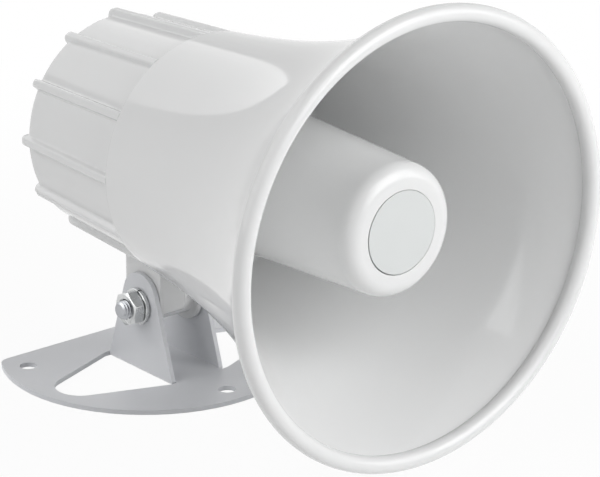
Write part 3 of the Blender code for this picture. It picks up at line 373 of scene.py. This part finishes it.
cupLow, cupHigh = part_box("reflector_cup")
cup = dict(
    face=-cupLow.y,
    rear=-cupHigh.y,
    frontRadius=20.2 * mm,
    rearRadius=(cupHigh.x - cupLow.x) / 2,
    wall=2.0 * mm,
    edge=4.8 * mm,
    innerCorner=4.0 * mm,
    rearEdge=0.5 * mm,
    recess=12.88 * mm,
    recessDepth=1.5 * mm,
    recessEdge=0.22 * mm,
    recessCorner=0.1 * mm,
    boss=4.6 * mm,                # the boss inside that takes the screw
    bossLength=7.7 * mm,          # from the recess's floor
    bossCorner=0.6 * mm,
    bossEdge=0.3 * mm,
    bore=1.55 * mm,
    steps=10,
    count=160,
)
disc = dict(
    radius=12.66 * mm,
    thickness=1.0 * mm,
    edge=0.06 * mm,
    sink=0.02 * mm,
    place=(0.15 * mm, 0.07 * mm),  # pressed in a little off centre, as in the photograph
    count=144,
)


def makeCup():
    # turned cup: screw bore, disc recess, round front edge, tapered side, open rear, boss
    face, rear, wall = cup["face"], cup["rear"], cup["wall"]
    seat = face - cup["recessDepth"]
    ceiling = seat - wall
    end = seat - cup["bossLength"]
    corners = [
        (cup["bore"], seat), (cup["recess"], seat), (cup["recess"], face), (cup["frontRadius"], face),
        (cup["rearRadius"], rear), (cup["rearRadius"] - wall, rear), (cup["frontRadius"] - wall, ceiling),
        (cup["boss"], ceiling), (cup["boss"], end), (cup["bore"], end),
    ]
    radii = [cup["recessCorner"], cup["recessEdge"], cup["edge"], cup["rearEdge"], cup["rearEdge"],
             cup["innerCorner"], cup["bossCorner"], cup["bossEdge"]]
    profile = fillet(corners, radii, cup["steps"])
    return gridMesh("cupShell", [turn(profile, cup["count"])], True, True)


def makeDisc():
    # flat disc with a small round edge, all but flush with the cup's face
    top = cup["face"] - disc["sink"]
    bottom = top - disc["thickness"]
    corners = [(0, top), (disc["radius"], top), (disc["radius"], bottom), (0, bottom)]
    profile = fillet(corners, [disc["edge"], disc["edge"]])
    return gridMesh("cupDisc", [turn(profile, disc["count"], disc["place"])])


dress(makeCup(), "horn", ["reflector_cup"], materials["whitePlastic"])
dress(makeDisc(), "horn", ["cup_disc"], materials["discPlastic"])
print("cup made")


# rear cover

cover = dict(
    frontRadius=37.0 * mm,
    rearRadius=34.5 * mm,
    front=23.5 * mm,
    frontEdge=0.3 * mm,
    seam=bell["seam"] - 0.01 * mm,  # a hair behind the horn's collar
    rear=-25.0 * mm,
    wall=2.2 * mm,
    edge=1.5 * mm,
    insideCorner=1.0 * mm,
    ribs=12,
    ribHalf=1.35 * mm,            # half the width of a rib's crest
    ribDraft=0.2 * mm,            # how far each flank leans out
    ribHeight=2.15 * mm,
    ribTop=0.75 * mm,             # rounding along a rib's crest
    ribRoot=0.7 * mm,             # fillet at its foot
    ribFoot=0.25 * mm,            # strip held flat beside the fillet
    ribEnd=0.04 * mm,             # rounding of its front end
    ribLead=1.0 * mm,             # the crest's first point behind that end
    sideLead=1.2 * mm,            # and the side's first even point
    nose=1.8 * mm,                # how far a rib stands out behind the drum
    noseRadius=3.0 * mm,
    noseFlat=0.72 * mm,
    hub=30.0 * mm,                # inside this radius a rib's angle no longer widens
    faceRing=6.0 * mm,            # from the rear edge's rounding in to the plain middle
    apart=0.1 * mm,               # between the side's last point and the edge's first
    inset=0.2 * mm,               # and from the edge's last to the face's first
    points=dict(bend=7, valley=6, side=20, shorter=8, longer=14, face=4, corner=3, end=4),
    screwCircle=28.5 * mm,
    pocket=2.9 * mm,
    pocketDepth=2.4 * mm,
    grommetDrop=17.0 * mm,
    grommetHole=3.6 * mm,
    holeStart=-20.0 * mm,         # the cable hole is cut from here
    cutEnd=-30.0 * mm,            # and every cut goes back to here
    cutCount=48,
)


def ribSection():
    # half of a rib's cross section from its crest to the valley: distance from the
    # rib's middle, share of the rib's height, and share of the valley's width
    top, root, half, height = cover["ribTop"], cover["ribRoot"], cover["ribHalf"], cover["ribHeight"]
    bend = np.radians(np.linspace(0, 90, cover["points"]["bend"]))
    crestAway = half - top + top * np.sin(bend)
    crestHeight = height - top * (1 - np.cos(bend))
    rootAway = half + cover["ribDraft"] + root * (1 - np.cos(bend))
    rootHeight = root * (1 - np.sin(bend))
    held = (half - top) * 0.9  # keeps the crest's flat strip flat when shaded
    foot = rootAway[-1] + cover["ribFoot"]
    count = cover["points"]["valley"]
    away = np.concatenate([[0.0, held], crestAway, rootAway, np.full(count + 1, foot)])
    rise = np.concatenate([[1.0, 1.0], crestHeight / height, rootHeight / height, np.zeros(count + 1)])
    valley = np.linspace(0, 1, count + 1)[1:]
    spread = np.concatenate([np.zeros(len(rise) - count), valley])
    return away, rise, spread


def drumRadius(ahead):
    # the drum narrows evenly from the seam to its rear
    taper = (cover["frontRadius"] - cover["rearRadius"]) / (cover["seam"] - cover["rear"])
    return cover["frontRadius"] - taper * (cover["seam"] - ahead)


def onRear(radii):
    # points on the flat rear face
    return np.stack([radii, np.full(len(radii), cover["rear"])], -1)


def coverPaths():
    # two profiles with the same number of points, one down a valley and one along a
    # rib's crest: inside floor, inner wall, front edge, side, rear edge, rear face
    wall, front, seam, rear = cover["wall"], cover["front"], cover["seam"], cover["rear"]
    outer, height, nose = cover["frontRadius"], cover["ribHeight"], cover["noseRadius"]
    points = cover["points"]
    floor = rear + wall
    corners = [(0, floor), (cover["rearRadius"] - wall, floor), (outer - wall, seam), (outer - wall, front),
               (outer, front), (outer, seam)]
    radii = [cover["insideCorner"], 0.0, cover["frontEdge"], cover["frontEdge"]]
    inside = fillet(corners, radii, points["corner"])
    lead = seam - cover["ribLead"]
    crestStart = [(outer, seam), (outer + height, seam), (drumRadius(lead) + height, lead)]
    riseCrest = fillet(crestStart, [cover["ribEnd"]], points["end"], 0.0)
    riseValley = np.repeat([[outer, seam]], len(riseCrest), 0)
    side = np.linspace(seam - cover["sideLead"], rear + nose, points["side"])
    sideValley = np.stack([drumRadius(side), side], -1)
    sideCrest = sideValley + [height, 0]
    corner = cover["rearRadius"] - cover["edge"]
    straight = np.linspace(rear + nose - cover["apart"], rear + cover["edge"], points["shorter"])
    endValley = np.concatenate([
        np.stack([drumRadius(straight), straight], -1),
        arcPoints((corner, rear + cover["edge"]), cover["edge"], 0, -90, points["longer"]),
    ])
    bend = rear - cover["nose"] + nose
    crown = drumRadius(bend) + height - nose
    endCrest = np.concatenate([
        arcPoints((crown, bend), nose, 0, -90, points["longer"]),
        arcPoints((crown - cover["noseFlat"], rear), cover["nose"], 270, 180, points["shorter"]),
    ])
    last = corner - cover["faceRing"]
    faceValley = onRear(np.linspace(corner - cover["inset"], last, points["face"]))
    faceCrest = onRear(np.linspace(endCrest[-1, 0] - cover["inset"], last, points["face"]))
    centre = onRear(np.linspace(last, 0, points["face"] + 1)[1:])
    valley = np.concatenate([inside, riseValley, sideValley, endValley, faceValley, centre])
    crest = np.concatenate([inside, riseCrest, sideCrest, endCrest, faceCrest, centre])
    return valley, crest


def makeCoverShell():
    # loft round the axis: at each angle the profile is a mix of the valley's and the
    # crest's by the rib section's height; a rib keeps its width as the drum tapers
    away, rise, spread = ribSection()
    away = np.concatenate([-away[:0:-1], away])
    rise = np.concatenate([rise[:0:-1], rise])
    spread = np.concatenate([-spread[:0:-1], spread])[:, None]
    valley, crest = coverPaths()
    pitch = math.pi / cover["ribs"]
    mixed = valley[None] * (1 - rise[:, None, None]) + crest[None] * rise[:, None, None]
    local = away[:, None] / np.maximum(mixed[..., 0], cover["hub"])
    edge = np.abs(local[[0]])
    local = local + spread * (pitch - edge)
    ribAngles = 2 * pitch * np.arange(cover["ribs"])[:, None, None]
    angles = (ribAngles + local[None, :-1]).reshape(-1, mixed.shape[1])
    radius = np.tile(mixed[:-1, :, 0], (cover["ribs"], 1))
    ahead = np.tile(mixed[:-1, :, 1], (cover["ribs"], 1))
    grid = np.stack([radius * np.cos(angles), -ahead, axisHeight + radius * np.sin(angles)], -1)
    return gridMesh("coverShell", [grid])


pedestal = dict(
    far=1.8 * mm,
    front=8.66 * mm,
    back=10.2 * mm,
    bottom=2.0 * mm,              # below the bolt's axis
    edge=1.2 * mm,
    corner=1.7 * mm,
    barrel=6.0 * mm,
    cheekRadius=8.55 * mm,
    cheekThickness=1.7 * mm,
    cheekEdge=0.45 * mm,
    reach=8.5 * mm,               # the cheeks' outer faces from the middle
    overlap=0.1 * mm,
    bore=3.3 * mm,
    points=dict(cheek=40, barrel=64, bore=48),
)
capShare = 0.97                    # of a slab's outline: the ring where its flat face starts


def slab(outline, low, high, edge, steps=4):
    # a flat outline (y, z) carried from one x to another, with its rims rounded: near
    # each face the outline is drawn in by edge (1 - cos) as x runs by edge (1 - sin)
    nextPoint = np.roll(outline, -1, 0) - np.roll(outline, 1, 0)
    normal = np.stack([nextPoint[:, 1], -nextPoint[:, 0]], -1)
    normal /= np.linalg.norm(normal, axis=1)[:, None]
    middle = outline.mean(0)
    if ((outline - middle) * normal).sum() < 0:
        normal = -normal
    bend = np.radians(np.linspace(0, 90, steps + 1))
    inset = np.concatenate([edge * (1 - np.sin(bend)), edge * (1 - np.cos(bend))])
    place = np.concatenate([low + edge * (1 - np.cos(bend)), high - edge * (1 - np.sin(bend))])
    rings = outline[:, None] - normal[:, None] * inset[None, :, None]
    across = np.broadcast_to(place[None, :, None], rings.shape[:2] + (1,))
    side = np.concatenate([across, rings], -1)
    inner = middle + (rings[:, [0, -1]] - middle) * capShare
    capLow = np.concatenate([across[:, [0]], inner[:, [0]]], -1)
    capHigh = np.concatenate([across[:, [-1]], inner[:, [1]]], -1)
    poleLow = np.broadcast_to([low, *middle], capLow.shape)
    poleHigh = np.broadcast_to([high, *middle], capHigh.shape)
    return np.concatenate([poleLow, capLow, side, capHigh, poleHigh], 1)


def roundBox(low, high, edge, steps=6):
    # outline of a rectangle in y and z with round corners, the corner points in order
    corners = [(low[0], low[1]), (high[0], low[1]), (high[0], high[1]), (low[0], high[1])]
    loop = [((corners[0][0] + corners[1][0]) / 2, low[1])] + corners[1:] + corners[:1]
    loop.append(loop[0])
    return fillet(loop, [edge] * 4, steps)[:-1]


def boltCylinder(name, radius, half, count):
    # cylinder on the bolt's axis, as far to one side of the middle as to the other
    profile = np.array([(0, half), (radius, half), (radius, -half), (0, -half)])
    return gridMesh(name, [turnOnBolt(profile, count)])


def backwardCut(name, radius, start, centre):
    # cylinder beside the horn's axis, from its start out through the cover's rear
    end = cover["cutEnd"]
    profile = np.array([(0, start), (radius, start), (radius, end), (0, end)])
    return gridMesh(name, [turn(profile, cover["cutCount"], centre)])


def makePedestal():
    # block, barrel and two round-ended cheeks, joined and bored for the bolt
    points, radius, reach = pedestal["points"], pedestal["cheekRadius"], pedestal["reach"]
    top = axisHeight - cover["rearRadius"] + cover["wall"] / 2
    low = (-pedestal["front"], pivot.z - pedestal["bottom"])
    outline = roundBox(low, (pedestal["back"], top), pedestal["corner"])
    near = pedestal["overlap"] - reach
    block = gridMesh("pedestalBlock", [slab(outline, near, pedestal["far"], pedestal["edge"])])
    top -= pedestal["overlap"]
    ends = arcPoints((0.0, pivot.z), radius, 180, 360, points["cheek"])
    outline = np.concatenate([ends, [(radius, top), (-radius, top)]])
    tools = []
    for low in (-reach, reach - pedestal["cheekThickness"]):
        cheek = slab(outline, low, low + pedestal["cheekThickness"], pedestal["cheekEdge"])
        tools.append(gridMesh("cheek", [cheek]))
    half = reach - pedestal["cheekThickness"] / 2
    tools.append(boltCylinder("barrel", pedestal["barrel"], half, points["barrel"]))
    joinShapes(block, tools, "UNION")
    bore = boltCylinder("bore", pedestal["bore"], 2 * reach, points["bore"])
    return joinShapes(block, [bore], "DIFFERENCE")


def makeCover():
    # ribbed drum joined to its pedestal, with pockets for the screws and a cable hole
    shell = makeCoverShell()
    joinShapes(shell, [makePedestal()], "UNION")
    cutters = []
    depth = cover["rear"] + cover["pocketDepth"]
    for quarter in range(4):
        angle = math.radians(45 + 90 * quarter)
        centre = (cover["screwCircle"] * math.cos(angle), cover["screwCircle"] * math.sin(angle))
        cutters.append(backwardCut("pocket", cover["pocket"], depth, centre))
    below = (0, -cover["grommetDrop"])
    cutters.append(backwardCut("cableHole", cover["grommetHole"], cover["holeStart"], below))
    return joinShapes(shell, cutters, "DIFFERENCE")


dress(makeCover(), "horn", ["rear_cover"], materials["whitePlastic"])
print("rear cover made")


# bracket

bracket = dict(edge=0.3 * mm, segments=3, angle=35.0, merge=0.001 * mm, flat=0.5)


def makeBracket():
    # the pressing's own form with every cut edge softened by the paint
    mesh = frame["nodes"]["mounting_bracket"].data.copy()
    shape = bmesh.new()
    shape.from_mesh(mesh)
    bmesh.ops.remove_doubles(shape, verts=shape.verts, dist=bracket["merge"])
    flat = math.radians(bracket["flat"])
    bmesh.ops.dissolve_limit(shape, angle_limit=flat, verts=shape.verts, edges=shape.edges)
    shape.to_mesh(mesh)
    shape.free()
    obj = shadedObject("bracketPressing", mesh, bracket["angle"])
    bevel = obj.modifiers.new("softEdges", "BEVEL")
    bevel.width = bracket["edge"]
    bevel.segments = bracket["segments"]
    bevel.limit_method = "ANGLE"
    bevel.angle_limit = math.radians(bracket["angle"])
    bevel.harden_normals = True
    return obj


dress(makeBracket(), "bracket", ["mounting_bracket"], materials["bracketPaint"])
print("bracket made")


# bolt, nut and washers

ear = 10.3 * mm                    # outer face of an ear from the middle
hardware = dict(
    flats=10.0 * mm,
    cornerShare=1.145,            # of half the flats: how far a corner reaches
    landShare=0.95,               # and the flat face inside the chamfer
    softEdge=0.15 * mm,
    washer=5.9 * mm,
    washerBore=3.25 * mm,
    washerEdge=0.25 * mm,
    washerThickness=1.5 * mm,
    washerShare=0.9,              # of that thickness, which leaves room for the rise
    washerSplit=5.0,              # degrees left open in the spring washer
    washerStart=104.0,
    washerRise=0.05 * mm,
    washerLift=0.28 * mm,         # off the ear
    seat=0.1 * mm,
    nut=4.0 * mm,
    nutBore=2.85 * mm,
    nutLead=0.3 * mm,             # chamfer of the bore at its inner face
    nutSink=0.65 * mm,            # and at its outer face
    nutTurn=8.0,
    bolt=3.0 * mm,
    boltPlay=0.02 * mm,           # taken off the bolt's radius
    pitch=1.0 * mm,
    threadDepth=0.5 * mm,
    threadStep=0.05 * mm,
    threadStart=0.2 * mm,         # below the nut
    toothGain=1.35,
    toothFlat=0.12,
    tipChamfer=0.75 * mm,
    tipFace=0.85 * mm,
    proud=2.0 * mm,
    tipLength=0.3 * mm,
    head=4.0 * mm,
    headRoot=1.0 * mm,            # how far the shank goes into the head
    flatWasher=6.2 * mm,
    flatThickness=1.2 * mm,
    flatEdge=0.15 * mm,
    hold=0.05 * mm,
    points=dict(hexagon=240, thread=96, spring=130, chamfer=5, corner=4),
)


def hexBlank(low, high, bore, turnBy, lowChamfer, highChamfer):
    # hexagon about the bolt: radius = apothem / cos(angle from the flat's middle); a
    # 30 degree cone takes the corners off, meeting each flat along its own curve
    count, steps = hardware["points"]["hexagon"], hardware["points"]["chamfer"]
    soft, lead, sink = hardware["softEdge"], hardware["nutLead"], hardware["nutSink"]
    angles = np.linspace(0, 2 * np.pi, count, endpoint=False)
    apothem = hardware["flats"] / 2
    fromFlat = (angles + math.pi / 6) % (math.pi / 3) - math.pi / 6
    radius = np.minimum(apothem / np.cos(fromFlat), apothem * hardware["cornerShare"])
    land = apothem * hardware["landShare"]
    drop = (radius - land) / math.sqrt(3.0)
    cone = [(land + (radius - land) * share, drop * share) for share in np.linspace(0, 1, steps)]
    columns = []  # rings in order, each a radius and a place along the bolt
    if bore:
        columns += [(bore, (low + high) / 2), (bore, low + lead), (bore + lead, low)]
    else:
        columns += [(0.0, low)]
    columns += [(land - soft, low)]
    if lowChamfer:
        columns += [(ring, low + fall) for ring, fall in cone]
    else:
        columns += [(radius - soft, low), (radius, low + soft)]
    if highChamfer:
        columns += [(ring, high - fall) for ring, fall in reversed(cone)]
    else:
        columns += [(radius, high - soft), (radius - soft, high)]
    columns += [(land - soft, high)]
    if bore:
        columns += [(bore + sink, high), (bore, high - sink)]
    else:
        columns += [(0.0, high)]
    radii = np.stack([np.broadcast_to(ring[0], count) for ring in columns], 1)
    along = np.stack([np.broadcast_to(ring[1], count) for ring in columns], 1)
    turned = (angles + math.radians(turnBy))[:, None]
    return np.stack([-along, radii * np.cos(turned), pivot.z + radii * np.sin(turned)], -1)


def threadedEnd(start, tip):
    # screw thread: radius = bolt - depth times a rounded saw of (along / pitch - turn),
    # faded out under a 45 degree chamfer at the tip
    count = hardware["points"]["thread"]
    angles = np.linspace(0, 2 * np.pi, count, endpoint=False)[:, None]
    along = np.arange(start, tip, hardware["threadStep"])[None, :]
    phase = (along / hardware["pitch"] - angles / (2 * np.pi)) % 1.0
    tooth = np.clip(np.abs(phase * 2 - 1) * hardware["toothGain"] - hardware["toothFlat"], 0, 1)
    radius = hardware["bolt"] - hardware["boltPlay"] - hardware["threadDepth"] * tooth
    chamfer = hardware["bolt"] - hardware["tipChamfer"] + (tip - along)
    radius = np.minimum(radius, chamfer)
    zero = np.zeros((count, 1))
    radius = np.concatenate([zero, radius, zero + hardware["bolt"] - hardware["tipFace"], zero], 1)
    along = np.concatenate([zero + start, np.repeat(along, count, 0), zero + tip, zero + tip], 1)
    return np.stack([-along, radius * np.cos(angles), pivot.z + radius * np.sin(angles)], -1)


def springWasher(low):
    # split ring: a round-cornered square section swept once round the bolt, rising
    # a little from one cut end to the other
    points = hardware["points"]
    half = math.radians(hardware["washerSplit"] / 2)
    start = math.radians(hardware["washerStart"])
    angles = np.linspace(start + half, start + 2 * math.pi - half, points["spring"])
    inner, outer, thick = hardware["washerBore"], hardware["washer"], hardware["washerThickness"]
    middle = (inner + outer) / 2
    corners = [(middle, 0), (outer, 0), (outer, thick), (inner, thick), (inner, 0), (middle, 0)]
    section = fillet(corners, [hardware["washerEdge"]] * 4, points["corner"], hardware["hold"])[:-1]
    rise = np.linspace(0, hardware["washerRise"], len(angles))[:, None]
    radius = np.broadcast_to(section[None, :, 0], (len(angles), len(section)))
    along = low + section[None, :, 1] * hardware["washerShare"] + rise
    turned = angles[:, None]
    grid = np.stack([-along, radius * np.cos(turned), pivot.z + radius * np.sin(turned)], -1)
    first = np.broadcast_to(grid[:1].mean(1, keepdims=True), grid[:1].shape)
    last = np.broadcast_to(grid[-1:].mean(1, keepdims=True), grid[-1:].shape)
    return np.concatenate([first, grid, last])


def flatRing(inner, outer, low, high):
    corners = [(inner, (low + high) / 2), (inner, high), (outer, high), (outer, low), (inner, low)]
    radii = [hardware["flatEdge"]] * 3
    profile = fillet(corners, radii, hardware["points"]["corner"], hardware["hold"])
    return turnOnBolt(profile, hardware["points"]["thread"])


def makeHardware():
    # from the near ear outward: spring washer, nut and threaded end; from the far ear
    # outward: flat washer and the bolt's head
    seat = hardware["seat"]
    nutLow = ear + seat + hardware["washerThickness"] + seat
    nutHigh = nutLow + hardware["nut"]
    nutGrid = hexBlank(nutLow, nutHigh, hardware["nutBore"], hardware["nutTurn"], True, True)
    nut = gridMesh("hexNut", [nutGrid], wrapColumns=True, sharp=25.0)
    springGrid = springWasher(ear + hardware["washerLift"])
    spring = gridMesh("springWasher", [springGrid], wrapRows=False, wrapColumns=True, sharp=35.0)
    flatHigh = -ear - seat
    flatLow = flatHigh - hardware["flatThickness"]
    ringGrid = flatRing(hardware["washerBore"], hardware["flatWasher"], flatLow, flatHigh)
    washer = gridMesh("flatWasher", [ringGrid], wrapColumns=True)
    headHigh = flatLow - seat
    headGrid = hexBlank(headHigh - hardware["head"], headHigh, 0, 0, True, False)
    shankRadius = hardware["bolt"] - hardware["boltPlay"]
    shankEnd = headHigh - hardware["headRoot"]
    shank = np.array([(0, nutLow), (shankRadius, nutLow), (shankRadius, shankEnd), (0, shankEnd)])
    shankGrid = turnOnBolt(shank, hardware["points"]["thread"])
    tip = nutHigh + hardware["proud"] + hardware["tipLength"]
    threadGrid = threadedEnd(nutLow - hardware["threadStart"], tip)
    bolt = gridMesh("pivotBolt", [headGrid, shankGrid, threadGrid], sharp=30.0)
    for piece, node in ((nut, "hex_nut"), (spring, "spring_washer"), (washer, "flat_washer")):
        dress(piece, "bracket", [node], materials["zincPlate"])
    dress(bolt, "bracket", ["pivot_bolt"], materials["platedSteel"])


makeHardware()
print("hardware made")


# floor, light and camera

floorValues = dict(
    half=1.6,
    drop=0.0002,                  # just under the base plate
    near=0.10,                    # from here to far, in metres, the white grows
    far=0.34,
    least=0.94,                   # the share of white nearest the middle
    colour=0.94,
    roughness=0.9,
    gloss=0.1,
)


def seenDirectly(tree, path):
    # 1 for rays from the camera and for those that gloss or glass sends on
    value = path.outputs["Is Camera Ray"]
    for name in ("Is Glossy Ray", "Is Transmission Ray"):
        either = tree.nodes.new("ShaderNodeMath")
        either.operation = "MAXIMUM"
        tree.links.new(value, either.inputs[0])
        tree.links.new(path.outputs[name], either.inputs[1])
        value = either.outputs["Value"]
    return value


def makeFloor():
    # pale paper that the camera sees mixed with plain white, wholly so from far outward
    bpy.ops.mesh.primitive_plane_add(size=2 * floorValues["half"], location=(0, 0, -floorValues["drop"]))
    floor = bpy.context.object
    floor.name = "floor"
    material, tree, shader = newMaterial("floorPaper")
    shader.inputs["Base Color"].default_value = (floorValues["colour"],) * 3 + (1.0,)
    shader.inputs["Roughness"].default_value = floorValues["roughness"]
    shader.inputs["Specular IOR Level"].default_value = floorValues["gloss"]
    glow = tree.nodes.new("ShaderNodeEmission")
    glow.inputs["Strength"].default_value = 1.0
    place = tree.nodes.new("ShaderNodeTexCoord")
    length = tree.nodes.new("ShaderNodeVectorMath")
    length.operation = "LENGTH"
    fade = tree.nodes.new("ShaderNodeMapRange")
    fade.interpolation_type = "SMOOTHSTEP"
    fade.inputs["From Min"].default_value = floorValues["near"]
    fade.inputs["From Max"].default_value = floorValues["far"]
    fade.inputs["To Min"].default_value = floorValues["least"]
    path = tree.nodes.new("ShaderNodeLightPath")
    both = tree.nodes.new("ShaderNodeMath")
    both.operation = "MULTIPLY"
    mix = tree.nodes.new("ShaderNodeMixShader")
    tree.links.new(place.outputs["Object"], length.inputs[0])
    tree.links.new(length.outputs["Value"], fade.inputs["Value"])
    tree.links.new(fade.outputs["Result"], both.inputs[0])
    tree.links.new(seenDirectly(tree, path), both.inputs[1])
    tree.links.new(both.outputs["Value"], mix.inputs["Fac"])
    tree.links.new(shader.outputs["BSDF"], mix.inputs[1])
    tree.links.new(glow.outputs["Emission"], mix.inputs[2])
    tree.links.new(mix.outputs["Shader"], tree.nodes["Material Output"].inputs["Surface"])
    floor.data.materials.append(material)


def makeWorld(level=0.03):
    # plain grey light all round, seen as white behind the object
    world = bpy.data.worlds.new("studio")
    bpy.context.scene.world = world
    world.use_nodes = True
    tree = world.node_tree
    ground = tree.nodes["Background"]
    ground.inputs["Color"].default_value = (1.0, 1.0, 1.0, 1.0)
    ground.inputs["Strength"].default_value = level
    white = tree.nodes.new("ShaderNodeBackground")
    white.inputs["Color"].default_value = (1.0, 1.0, 1.0, 1.0)
    white.inputs["Strength"].default_value = 1.0
    path = tree.nodes.new("ShaderNodeLightPath")
    mix = tree.nodes.new("ShaderNodeMixShader")
    tree.links.new(seenDirectly(tree, path), mix.inputs["Fac"])
    tree.links.new(ground.outputs["Background"], mix.inputs[1])
    tree.links.new(white.outputs["Background"], mix.inputs[2])
    tree.links.new(mix.outputs["Shader"], tree.nodes["World Output"].inputs["Surface"])


# each soft panel's place, width and height in metres, roll in degrees and power in watts
lights = {
    "rearPanel": dict(place=(-0.10, 1.00, 0.83), size=(1.75, 0.76), roll=19.0, power=3.9),
    "leftPanel": dict(place=(-0.95, 0.25, 0.75), size=(1.40, 1.30), roll=0.0, power=8.5),
    "rightPanel": dict(place=(0.60, -1.00, 0.50), size=(1.00, 1.00), roll=0.0, power=7.3),
    "frontPanel": dict(place=(0.25, -1.10, 0.70), size=(1.00, 1.00), roll=0.0, power=6.7),
}
lightsAim = Vector((0.0, -0.04, 0.07))


def addPanels():
    # soft rectangular lamps, all turned to the same place
    for name, values in lights.items():
        light = bpy.data.lights.new(name, "AREA")
        light.shape = "RECTANGLE"
        light.size, light.size_y = values["size"]
        light.energy = values["power"]
        lamp = bpy.data.objects.new(name, light)
        bpy.context.scene.collection.objects.link(lamp)
        lamp.location = values["place"]
        turned = (lightsAim - lamp.location).to_track_quat("-Z", "Y").to_matrix()
        roll = Matrix.Rotation(math.radians(values["roll"]), 3, "Z")
        lamp.rotation_euler = (turned @ roll).to_euler()


view = dict(
    place=(-584.1, -762.9, 396.6),  # in millimetres
    azimuth=-40.0,                # of where it looks, in degrees
    elevation=20.212,
    roll=0.285,
    lens=193.46,
    sensor=36.0,
    near=0.05,
    far=20.0,
)


def makeCamera():
    # where the photograph was taken from: its place, where it looks and its roll
    data = bpy.data.cameras.new("camera")
    data.sensor_width = view["sensor"]
    data.lens = view["lens"]
    data.clip_start = view["near"]
    data.clip_end = view["far"]
    camera = bpy.data.objects.new("camera", data)
    bpy.context.scene.collection.objects.link(camera)
    azimuth, elevation, roll = (math.radians(view[name]) for name in ("azimuth", "elevation", "roll"))
    level = math.cos(elevation)
    forward = Vector((-math.sin(azimuth) * level, math.cos(azimuth) * level, -math.sin(elevation)))
    turnTo = forward.to_track_quat("-Z", "Y").to_matrix().to_4x4()
    place = Matrix.Translation(Vector(view["place"]) * mm)
    camera.matrix_world = place @ turnTo @ Matrix.Rotation(roll, 4, "Z")
    bpy.context.scene.camera = camera


makeFloor()
makeWorld()
addPanels()
makeCamera()
bpy.context.scene.view_settings.view_transform = "Standard"
print("floor, light and camera made")
